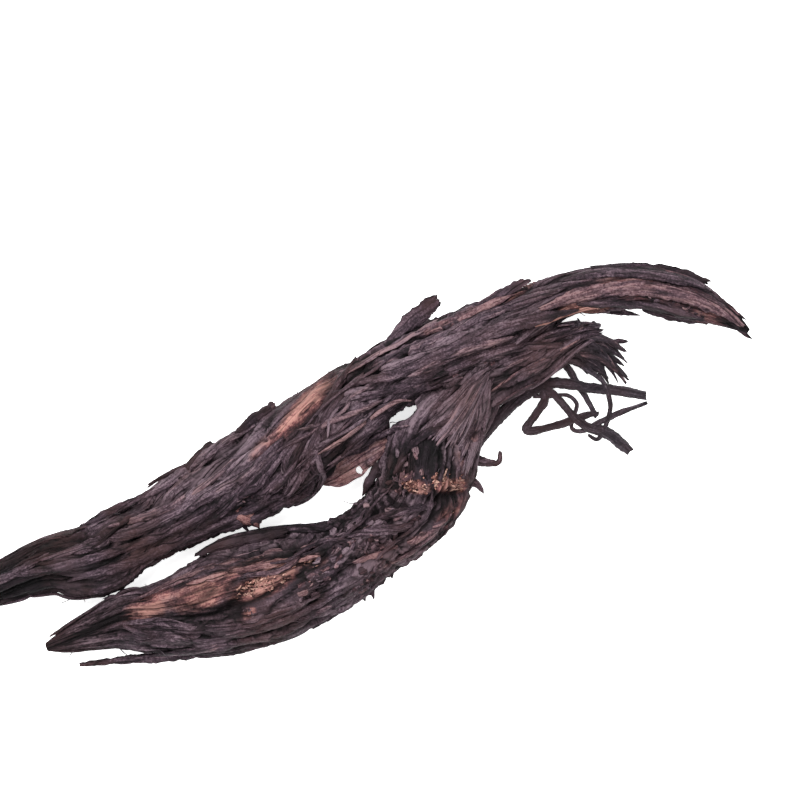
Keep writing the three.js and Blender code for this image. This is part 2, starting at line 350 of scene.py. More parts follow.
def makeFibreGrain():
    # noise drawn out along the fibres: coarse strands, fine hairs, crack lines, an even grit, and the
    # height of all four for a bump
    tree = bpy.data.node_groups.new("fibreGrain", "ShaderNodeTree")
    face = tree.interface
    face.new_socket("Place", in_out="INPUT", socket_type="NodeSocketVector")
    for key, value in (("Strand Width", 0.55), ("Drawn Out", 9.0), ("Hair Share", 0.5)):
        face.new_socket(key, in_out="INPUT", socket_type="NodeSocketFloat").default_value = value
    for key in ("Strands", "Hairs", "Cracks", "Grit", "Height"):
        face.new_socket(key, in_out="OUTPUT", socket_type="NodeSocketFloat")
    _, add, maths, ranged, cloudy = nodeKit(tree)
    given = add("NodeGroupInput").outputs
    acrossScale = maths("DIVIDE", 1.0, given["Strand Width"])
    alongScale = maths("DIVIDE", acrossScale, given["Drawn Out"])
    stretch = add("ShaderNodeCombineXYZ", X=alongScale, Y=acrossScale, Z=acrossScale).outputs[0]
    drawn = maths("MULTIPLY", given["Place"], stretch, kind="ShaderNodeVectorMath")
    strands = cloudy(drawn, 1.0, 5.0, 0.62, 0.5)
    hairs = cloudy(drawn, 3.7, 3.0, 0.6, 0.2)
    grit = cloudy(given["Place"], 2.4, 4.0, 0.7)
    blend = add("ShaderNodeMix", data_type="FLOAT", Factor=given["Hair Share"], A=strands, B=hairs)

    def crackLines(scale, breadth):
        # thin lines where a slow noise crosses its middle value
        away = maths("ABSOLUTE", maths("SUBTRACT", cloudy(drawn, scale, 2.0, 0.55, 0.6), 0.5))
        return ranged(away, 0.0, breadth, 1.0, 0.0)
    cracks = maths("MAXIMUM", crackLines(0.21, 0.022), maths("MULTIPLY", crackLines(0.5, 0.03), 0.5))
    height = maths("MULTIPLY_ADD", grit, 0.35, maths("MULTIPLY_ADD", cracks, -0.55, blend.outputs[0]))
    add("NodeGroupOutput", Strands=strands, Hairs=hairs, Cracks=cracks, Grit=grit, Height=height)
    return tree


def makeFinish(name, look, grainGroup):
    # bark, bare wood and rootlet skin share one recipe and differ in their dictionary
    material = bpy.data.materials.new(name)
    material.use_nodes = True
    tree = material.node_tree
    tree.nodes.clear()
    feed, add, maths, ranged, cloudy = nodeKit(tree)

    def attribute(key, output):
        return add("ShaderNodeAttribute", attribute_name=key).outputs[output]
    paintedShade, tone, worn = (attribute(key, "Fac") for key in ("paintedShade", "tone", "worn"))
    grain = add("ShaderNodeGroup", node_tree=grainGroup, **{
        "Place": attribute("fibre", "Vector"), "Strand Width": look["strandWidth"],
        "Drawn Out": look["drawnOut"], "Hair Share": look["hairShare"]}).outputs

    def ramped(value, colours):
        ramp = add("ShaderNodeValToRGB", Fac=value)
        points = ramp.color_ramp.elements
        while len(points) < len(colours):
            points.new(0.5)
        for point, (place, tint) in zip(points, colours):
            point.position, point.color = place, (*tint, 1)
        return ramp.outputs["Color"]

    def mixed(first, second, share, kind="MIX"):
        # a Mix node has its colours at sockets 6 and 7 and gives its colour at output 2
        node = add("ShaderNodeMix", data_type="RGBA", blend_type=kind)
        for index, value in ((0, share), (6, first), (7, second)):
            feed(node.inputs[index], (*value, 1) if isinstance(value, tuple) else value)
        return node.outputs[2]

    # the shade sums the grain and the tone, and a ramp turns it into colour
    shade = maths("MULTIPLY", grain["Strands"], look["strandShade"])
    for part, share in ((grain["Hairs"], "hairShade"), (grain["Grit"], "gritShade"), (tone, "toneShade")):
        shade = maths("MULTIPLY_ADD", part, look[share], shade)
    colour = ramped(shade, look["ramp"])
    # broad drifts of two hues over the whole root
    place = add("ShaderNodeTexCoord").outputs["Object"]
    drift = ranged(cloudy(place, look["driftScale"], 3.0, 0.55), *look["driftRange"])
    colour = mixed(colour, look["driftColour"], drift)
    dusk = ranged(cloudy(place, look["duskScale"], 4.0, 0.6), *look["duskRange"])
    colour = mixed(colour, look["duskColour"], dusk)
    # worn places read a second ramp, from red-brown to pale torn wood, with the same grain
    wornColour = ramped(maths("MULTIPLY_ADD", worn, 0.2, shade), look["wornRamp"])
    wornShare = maths("MULTIPLY_ADD", grain["Strands"], 0.5, worn)
    colour = mixed(colour, wornColour, ranged(wornShare, *look["wornBand"]))
    # painted shade: crevices, grooves, strip undersides and cracks are darkened last
    deep = ranged(maths("MULTIPLY_ADD", grain["Hairs"], 0.12, paintedShade), *look["creviceShadeBand"])
    colour = mixed(colour, look["creviceShadeColour"], deep, "MULTIPLY")
    crackShadeMask = maths("MULTIPLY", grain["Cracks"], look["crackShadeShare"])
    colour = mixed(colour, look["crackShadeColour"], crackShadeMask, "MULTIPLY")
    bump = add("ShaderNodeBump", Strength=look["bump"], Distance=look["bumpDepth"], Height=grain["Height"])
    skin = add("ShaderNodeBsdfPrincipled", **{
        "Base Color": colour, "Roughness": ranged(grain["Hairs"], 0.3, 0.7, *look["roughness"]),
        "Specular IOR Level": look["specular"], "Normal": bump.outputs[0]})
    add("ShaderNodeOutputMaterial", Surface=skin.outputs[0])
    return material


barkLook = {
    "strandWidth": 0.8, "drawnOut": 7.0, "hairShare": 0.4,
    "strandShade": 0.7, "hairShade": 0.35, "gritShade": 0.6, "toneShade": 0.6,
    "ramp": [(0.66, (0.0064, 0.0036, 0.0054)), (0.77, (0.0205, 0.0120, 0.0170)),
             (0.87, (0.054, 0.034, 0.045)), (0.98, (0.125, 0.088, 0.105))],
    "wornRamp": [(0.68, (0.018, 0.0065, 0.0075)), (0.82, (0.092, 0.034, 0.036)),
                 (0.92, (0.180, 0.073, 0.068)), (1.0, (0.27, 0.135, 0.115))],
    "wornBand": (0.40, 0.92),
    "driftScale": 75.0, "driftRange": (0.42, 0.68, 0.0, 0.6), "driftColour": (0.042, 0.0190, 0.0180),
    "duskScale": 110.0, "duskRange": (0.52, 0.76, 0.0, 0.5), "duskColour": (0.066, 0.045, 0.058),
    # painted shade: the colours multiplied in crevices and cracks
    "creviceShadeColour": (0.07, 0.05, 0.06), "creviceShadeBand": (0.12, 0.95),
    "crackShadeColour": (0.09, 0.07, 0.08), "crackShadeShare": 0.85,
    "roughness": (0.6, 0.85), "specular": 0.14, "bump": 1.0, "bumpDepth": 0.0006,
}
woodLook = {
    **barkLook, "strandWidth": 0.5, "drawnOut": 1.5,
    "ramp": [(0.64, (0.014, 0.005, 0.005)), (0.75, (0.115, 0.042, 0.034)),
             (0.87, (0.31, 0.150, 0.122)), (0.98, (0.52, 0.31, 0.25))],
    "driftColour": (0.06, 0.022, 0.018), "duskRange": (0.5, 0.8, 0.0, 0.2), "roughness": (0.7, 0.95),
}
rootletLook = {
    **barkLook, "strandWidth": 0.28, "drawnOut": 14.0,
    "ramp": [(0.62, (0.0045, 0.0028, 0.0045)), (0.76, (0.0115, 0.0075, 0.011)),
             (0.88, (0.030, 0.021, 0.029)), (1.0, (0.085, 0.065, 0.08))],
    "driftColour": (0.034, 0.014, 0.015), "duskRange": (0.5, 0.8, 0.0, 0.25), "crackShadeShare": 0.3,
    "roughness": (0.5, 0.75), "specular": 0.2,
}
fibreGrain = makeFibreGrain()
driedBark = makeFinish("driedBark", barkLook, fibreGrain)
exposedWood = makeFinish("exposedWood", woodLook, fibreGrain)
rootletSkin = makeFinish("rootletSkin", rootletLook, fibreGrain)
print("finishes made")


mainRoot = {
    "name": "main_root", "holeSide": 1, "seed": 11, "ring": 6.2, "rings": 640, "sides": 138,
    "fold": 1.75, "pleat": 0.62, "strand": 0.17, "layer": 0.55, "crack": 0.9, "wander": 0.35,
    "twist": [(0, 0.0), (40, 0.35), (60, 0.9), (78, 1.7), (88, 2.0), (120, 2.15), (175, 2.4)],
    "stations": [
        (-81.4, -0.8, 4.4, 0.7, 0.6), (-78, -0.5, 4.5, 1.9, 1.5), (-70, 0.3, 4.6, 2.8, 2.4),
        (-62, 0.9, 4.8, 3.5, 3.1), (-53, 1.3, 5, 4.9, 4.1), (-47.5, -0.1, 5.1, 6.2, 4.9),
        (-43, -0.5, 5.1, 6.6, 5.1), (-37.5, 0.7, 5.1, 5.8, 5), (-31, 2, 5.1, 5.7, 5),
        (-23, 3.5, 5.4, 6.6, 5.5), (-15, 5, 5.8, 7.3, 6), (-6.5, 6.3, 6, 7.7, 6.3),
        (2, 8.8, 6.2, 7.7, 6.4), (10.5, 11.7, 6.4, 7.1, 6.3), (19, 14.1, 6.6, 6.3, 6),
        (27, 14.6, 6.9, 6.5, 6.2), (35, 15.4, 7.3, 6.2, 5.8), (43, 16.6, 7.9, 4.9, 4.7),
        (51, 17.9, 8.5, 3.8, 3.8), (58, 16.8, 8.9, 3.9, 3.4), (65, 14.9, 9.1, 3.7, 3.1),
        (71.4, 10.8, 9, 3.6, 2.8), (76, 7.2, 8.6, 2.6, 2), (79.4, 3.6, 8.1, 1.4, 1.1),
        (81.2, 1.2, 7.7, 0.5, 0.5)],
}
sideRoot = {
    "name": "side_root", "holeSide": -1, "seed": 47, "ring": 7.0, "rings": 430, "sides": 150,
    "fold": 1.7, "pleat": 0.6, "strand": 0.17, "layer": 0.6, "crack": 0.9, "wander": 0.3,
    "twist": [(0, 0.0), (30, 0.5), (60, 0.6), (110, 0.3)],
    "rough": lambda run: np.exp(-((run - 36) / 12) ** 2),
    "stations": [
        (35, 10.5, 7.2, 4, 4), (28.4, 5.6, 7.2, 6, 5.4), (21.7, 1.2, 7, 7.7, 6.5),
        (18.1, -3.7, 6.9, 8.4, 7), (14.9, -7.9, 6.9, 8, 7.1), (10.1, -11.1, 6.8, 7.2, 7),
        (3.6, -13.3, 6.7, 6.5, 6.8), (-1.6, -14.9, 6.8, 7.2, 6.9), (-8.1, -15.6, 7, 8.1, 7.3),
        (-16.2, -15.8, 7.1, 9.4, 7.5), (-23.4, -15.6, 7, 9.3, 7.3), (-30.2, -15.5, 6.5, 8.1, 6.4),
        (-36.9, -14.5, 6.1, 6, 5.2), (-42.8, -13.2, 5.8, 4.8, 4.1), (-48.7, -13, 5.6, 3.3, 3),
        (-54.4, -13, 5.5, 2, 1.8), (-58.2, -12.9, 5.4, 0.7, 0.7)],
}
stemStub = {
    "name": "stem_stub", "seed": 83, "ring": 4.4, "rings": 130, "sides": 96,
    "fold": 1.2, "pleat": 0.6, "strand": 0.17, "layer": 0.5, "crack": 0.8, "wander": 0.35,
    "twist": [(0, 0.0), (35, 0.5)],
    "stations": [
        (27.5, 6.5, 6.3, 4.6, 5), (32, 7.8, 6.3, 5.4, 5.5), (37.1, 8.5, 6.2, 5.2, 5.4),
        (42, 9, 6.3, 4.6, 4.6), (46, 9.6, 6.5, 3.9, 3.6), (50, 10, 6.9, 2.7, 2.2),
        (53.4, 10, 7.1, 1.5, 1.1), (55.6, 9.6, 7.2, 0.5, 0.4)],
}

# Grooves and hollows cut into the upper side: a line in plan, half width, depth.
carvings = [
    ([(-38.6, 5.5), (-34.1, 5.9), (-26.6, 5.5), (-21.6, 7.3), (-17.9, 8.5), (-9.5, 13)], 0.8, 1.3),
    ([(9.5, 17.5), (6.5, 14), (2, 10.4), (-1.8, 5.5), (-5.5, 1.6)], 1.3, 2),
    ([(-39, -13.6), (-33, -15.2), (-26, -17.2), (-20, -17.6)], 2, 1.5),
    ([(-24, -7.6), (-14, -8), (-4, -10.6)], 1.2, 1.6),
    ([(12.5, -7.6), (18.5, -9.6), (24, -9.8)], 0.9, 1.3),
]
# Worn places, lighter or darker places and smooth places: middle in plan, half length, half width,
# direction in degrees, strength.
wornSpots = [
    (0.4, 13.5, 8, 1.9, 30, 0.85), (-8, 9.6, 5, 1.6, 28, 0.36),
    (-27.6, -12.4, 5.8, 2.8, 4, 0.78), (-37, -11.8, 6.2, 2.6, 6, 0.6), (-20, -10.4, 7, 1.2, 8, 0.46),
    (-15.5, -13.9, 7, 2.3, 8, 1), (-20.3, -18.1, 1.6, 1, 20, 0.55), (-6.5, -13, 3, 1.5, 0, 0.5),
    (15.4, -6.4, 2.4, 1.3, -20, 0.9), (21, -8.2, 2.9, 1.5, -18, 0.9), (19.5, -12.5, 4, 1.6, 20, 0.45),
    (54.2, 14.5, 6, 1.2, -10, 1), (66, 13.6, 13, 2.6, -28, 0.42), (75, 7, 5, 2, -42, 0.46),
    (26, 19.6, 14, 0.8, 8, 0.26), (44, 21, 4, 0.8, 20, 0.5), (-24, 8.8, 12, 0.9, 20, 0.2),
    (26, -2, 7, 2.6, 60, 0.26),
]
toneSpots = [
    (-21, 7, 12, 2.6, 17, 0.36), (-60, 0, 22, 7, 2, -0.5), (-30, 1.5, 16, 3, 6, -0.06),
    (-26, -1.6, 22, 2.2, 4, -0.18),
    (27, 14.6, 9, 2.4, 4, 0.16), (27.5, 3.4, 9.5, 4.2, 46, 0.46), (14.6, -1.6, 5, 3.2, 60, -0.26),
    (19, -1.8, 4.6, 3, 60, -0.36),
    (-26, -18.8, 18, 2, -10, -0.1), (-14, -8.6, 13, 1.6, -4, 0.08), (3, 1.2, 5, 3.2, 20, -0.24),
    (-14, -22.6, 16, 1.4, 4, 0.12), (6, -14, 12, 5, 25, 0.24), (66, 12, 13, 2.6, -28, -0.14),
    (70, 14.6, 12, 0.9, -32, -0.25), (79, 4, 3.5, 2.5, -50, -0.3),
    (0.4, 13.5, 8, 1.8, 30, 0.10), (24, 7, 9, 3, 30, 0.12),
]
smoothSpots = [
    (0.7, 13.9, 9, 2.6, 33, 0.85), (-31, -12, 11, 2.6, 8, 0.7), (66, 13, 14, 3.6, -30, 0.6),
    (53, 17.5, 8, 3, 0, 0.5), (-22, 7.2, 12, 2, 17, 0.45),
]


def planFrame(place, x, y, degrees):
    # how far each point is from x, y in plan, along a direction and square to it
    c, s = math.cos(math.radians(degrees)), math.sin(math.radians(degrees))
    dx, dy = place[..., 0] - x, place[..., 1] - y
    return dx * c + dy * s, dy * c - dx * s


def spotsAt(place, spots, seed, ragged=0.5):
    # each spot is exp(-(x^2 + y^2)^2) in its own directions, ragged by noise; the strongest one counts
    best = np.zeros(place.shape[:-1])
    for x, y, long, wide, degrees, strength in spots:
        u, v = planFrame(place, x, y, degrees)
        here = strength * np.exp(-((u / long) ** 2 + (v / wide) ** 2) ** 2)
        best = np.where(np.abs(here) > np.abs(best), here, best)
    x, y, z = np.moveaxis(place, -1, 0)
    uneven = noise(x / 2.2, y / 2.2, z / 2.2, seed) + 0.6 * noise(x / 0.9, y / 0.9, z / 0.9, seed + 1)
    return best * smooth(3.0, 7.0, z) * (1 + ragged * uneven)


def carved(place, normal):
    # depth of the grooves here, each a bell across its line that fades at both ends
    depth = np.zeros(place.shape[:-1])
    for line, wide, deep in carvings:
        away, share = lineDistance(place, line)
        ends = smooth(0.0, 0.15, share) * smooth(1.0, 0.85, share)
        depth = depth + deep * np.exp(-(away / wide) ** 2) * ends
    return depth * smooth(0.1, 0.6, normal[..., 2])


# A through hole in the fork: middle in plan, half length, half width, direction in degrees.
forkHole = {"x": 17.0, "y": 6.7, "long": 3.0, "wide": 0.9, "degrees": 14}


def clearOfHole(place, sign):
    # what reaches into the hole is moved across it to the rim, on the limb's own side
    u, v = planFrame(place, forkHole["x"], forkHole["y"], forkHole["degrees"])
    uneven = 1 + 0.7 * noise(u / 0.9, sign * 4.3, 0.5, 71)
    uneven = uneven + 0.5 * noise(u / 0.35, sign * 4.3, place[..., 2] / 2, 72)
    rim = forkHole["wide"] * uneven * np.sqrt(np.maximum(1 - (u / forkHole["long"]) ** 2, 0))
    moved = np.where((rim > 0) & (sign * v < rim), sign * rim, v)
    turn = math.radians(forkHole["degrees"])
    place[..., 0] += (v - moved) * math.sin(turn)
    place[..., 1] += (moved - v) * math.cos(turn)
    return place


def inHole(place):
    # whether each point lies over the hole, with a little room round it
    u, v = planFrame(place, forkHole["x"], forkHole["y"], forkHole["degrees"])
    return (u / (forkHole["long"] + 0.3)) ** 2 + (v / (forkHole["wide"] + 0.4)) ** 2 < 1


def limbBody(settings):
    # the limb's ellipse moved out by the bark's relief, less what is carved, on a grid of length and angle
    seed, ring, rings, sides = (settings[key] for key in ("seed", "ring", "rings", "sides"))
    limb = makeLimb(settings["stations"])
    settings["limb"] = limb
    run, angle = np.meshgrid(np.linspace(0, limb["run"][-1], rings), 2 * np.pi * np.arange(sides) / sides,
                             indexing="ij")
    relief, paintedShade = barkRelief(settings, run, angle)
    place, normal = onLimb(limb, run, angle)
    cut = carved(place, normal)
    calm = spotsAt(place, smoothSpots, seed, ragged=0.0)
    place = place + normal * (relief * thinning(limb, run) * (1 - calm) - cut)[..., None]
    if "holeSide" in settings:
        place = clearOfHole(place, settings["holeSide"])
    # painted shade, deeper in the carved grooves and lighter in smooth places
    paintedShade = np.clip(paintedShade + 0.45 * smooth(0.2, 1.6, cut), 0, 1) * (1 - 0.6 * calm)
    verts = keepInBox(np.concatenate([place.reshape(-1, 3), place[:1].mean(1), place[-1:].mean(1)]))
    quads, tris = tubeFaces(rings, sides)
    turn = turned(settings, run, angle)
    fibre = np.stack([run, ring * np.cos(turn), ring * np.sin(turn)], -1).reshape(-1, 3)
    fibre = np.concatenate([fibre, fibre[:1], fibre[-1:]])
    tone = 0.3 * noise(fibre[:, 0] / 11, fibre[:, 1] / 3, fibre[:, 2] / 3, seed + 20)
    values = {"fibre": fibre, "paintedShade": np.concatenate([paintedShade.reshape(-1), [0, 0]]),
              "tone": tone + spotsAt(verts, toneSpots, seed), "worn": spotsAt(verts, wornSpots, seed)}
    piece = putMesh(settings["name"], verts, quads, tris, values, driedBark)
    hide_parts("arnebia_root")
    return verts


limbVerts = np.concatenate([limbBody(settings) for settings in (mainRoot, sideRoot, stemStub)])


def scatterBark(settings, look):
    # strips that follow the fibres: start, length, angle and width are drawn at random, the path winds
    # with the limb's own twist, and one end of each is lifted off like a curl of dry bark
    limb, seed, count = settings["limb"], settings["seed"], look["count"]
    draw = np.random.default_rng(seed + 100)
    narrow = draw.random(count) < look["narrowShare"]
    total = limb["run"][-1]
    long = draw.uniform(*look["length"], count) * np.where(narrow, 1.6, 1.0)
    start = draw.uniform(look["from"] * total, look["to"] * total, count)
    start = np.minimum(start, total * 0.985 - long)
    angle = draw.uniform(0, 2 * np.pi, count)
    wide = np.where(narrow, draw.uniform(0.2, 0.55, count), draw.uniform(*look["halfWidth"], count))
    thick = draw.uniform(*look["thick"], count)
    lift = draw.uniform(*look["lift"], count)
    tone = draw.normal(0, 0.09, count)
    worn = np.clip(draw.normal(0.05, 0.14, count), 0, 0.4)
    t = np.linspace(0, 1, look["steps"])
    run = start[:, None] + long[:, None] * t
    wind = turned(settings, run, 0.0) - turned(settings, start, 0.0)[:, None]
    sway = 0.16 * noise(run / 8, angle[:, None] * 3, 0.5, seed + 3)
    path = angle[:, None] - wind + sway
    relief, _ = barkRelief(settings, run, path, fine=False)
    widthHere = np.interp(run, limb["run"], limb["wide"])
    peel = np.exp(-(1 - t) * 3.2) * lift[:, None] + 0.25 * np.exp(-t * 6) * lift[:, None]
    sink = -0.35 * np.exp(-t * 9)
    out = (np.maximum(relief, -0.3) + 0.1) * thinning(limb, run) + peel + sink + thick[:, None] * 0.5
    place, normal = onLimb(limb, run, path, out)
    taper = np.minimum(1, 0.3 + 2.0 * t) * np.minimum(1, 0.75 + 3.0 * (1 - t))
    spotTone = 0.8 * spotsAt(place, toneSpots, seed).mean(axis=1)
    bare = spotsAt(place, wornSpots, seed).max(axis=1) > 0.3
    bare = bare | inHole(place).any(axis=1)
    parts = []
    for k in np.flatnonzero(~bare):
        half = np.minimum(wide[k], 0.5 * widthHere[k]) * taper
        curl = draw.uniform(*look["curl"]) if narrow[k] else 0.0
        bow = -0.5 * half.mean() / max(widthHere[k].mean(), 1.5) + curl
        sides = 8 if narrow[k] else look["sides"]
        parts.append(blade(place[k], normal[k], half, thick[k] * taper, seed * 50 + k, bow=bow,
                           sides=sides, tone=tone[k] + spotTone[k], worn=worn[k], jag=look["jag"]))
    putParts(look["name"], parts, driedBark)


scatterLook = {"narrowShare": 0.6, "halfWidth": (0.6, 1.6), "thick": (0.14, 0.3), "curl": (-0.1, 0.2),
               "sides": 16, "jag": 1.4}
scatterBark(mainRoot, {**scatterLook, "name": "main_root_bark", "count": 46, "steps": 56, "length": (7, 24),
                       "lift": (0.0, 0.2), "from": 0.02, "to": 0.93})
scatterBark(sideRoot, {**scatterLook, "name": "side_root_bark", "count": 30, "steps": 50, "length": (6, 20),
                       "lift": (0.0, 0.4), "from": 0.05, "to": 0.9})
scatterBark(stemStub, {**scatterLook, "name": "stem_stub_bark", "count": 44, "steps": 36, "length": (5, 15),
                       "lift": (0.0, 0.7), "from": 0.05, "to": 0.85, "narrowShare": 0.7,
                       "halfWidth": (0.4, 1.1), "thick": (0.12, 0.28), "curl": (-0.05, 0.4), "sides": 14})


groundCell = 0.4  # side of a cell of the ground's grid
groundEdge = 4.0  # room round the box


def makeGround(verts):
    # the highest point of the limbs over each cell of a plan grid, gaps filled and then evened out
    size = np.ceil((boxHigh[:2] - boxLow[:2] + 2 * groundEdge) / groundCell).astype(int)
    cells = ((verts[:, :2] - boxLow[:2] + groundEdge) / groundCell).astype(int)
    heights = np.zeros(size)
    np.maximum.at(heights, (cells[:, 0], cells[:, 1]), verts[:, 2])

    def around(a):
        return [np.roll(a, (i, j), (0, 1)) for i in (-1, 0, 1) for j in (-1, 0, 1)]
    heights = np.where(heights > 0, heights, np.max(around(heights), axis=0))
    for _ in range(2):
        heights = np.mean(around(heights), axis=0)
    return heights


ground = makeGround(limbVerts)


def groundAt(x, y):
    # height of the limbs under a point in plan, blended between four cells
    gx, gy = ((v - low + groundEdge) / groundCell - 0.5 for v, low in ((x, boxLow[0]), (y, boxLow[1])))
    i = np.clip(np.floor(gx).astype(int), 0, ground.shape[0] - 2)
    j = np.clip(np.floor(gy).astype(int), 0, ground.shape[1] - 2)
    fx, fy = np.clip(gx - i, 0, 1), np.clip(gy - j, 0, 1)
    return ((ground[i, j] * (1 - fx) + ground[i + 1, j] * fx) * (1 - fy)
            + (ground[i, j + 1] * (1 - fx) + ground[i + 1, j + 1] * fx) * fy)


def laidStrip(line, wide, thick, lift, ends, tone, worn, seed):
    # a strip of bark over the limbs: it follows a line in plan at the height of what lies under it
    reach = 0.6  # the slope is read this far to each side
    lowest = 5.4  # no strip dips further between two limbs
    run, q = smoothLine([(x, y, 0.0) for x, y in line], 0.45)
    x, y = q[:, 0], q[:, 1]
    t = run / run[-1]
    slopeX = (groundAt(x + reach, y) - groundAt(x - reach, y)) / (2 * reach)
    slopeY = (groundAt(x, y + reach) - groundAt(x, y - reach)) / (2 * reach)
    normal = unit(np.stack([-slopeX, -slopeY, np.ones_like(x)], -1))
    rise = lift + ends[0] * np.exp(-t * 5) + ends[1] * np.exp(-(1 - t) * 5)
    height = groundAt(x, y) + rise
    for _ in range(3):
        height[1:-1] = (height[:-2] + 2 * height[1:-1] + height[2:]) / 4
    centre = np.stack([x, y, np.maximum(height, lowest)], -1)
    narrow = np.minimum(1, 0.3 + 4 * t) * np.minimum(1, 0.3 + 4 * (1 - t))
    return blade(centre, normal, wide * narrow, thick * narrow, seed, bow=-0.1, sides=12, tone=tone,
                 worn=worn)


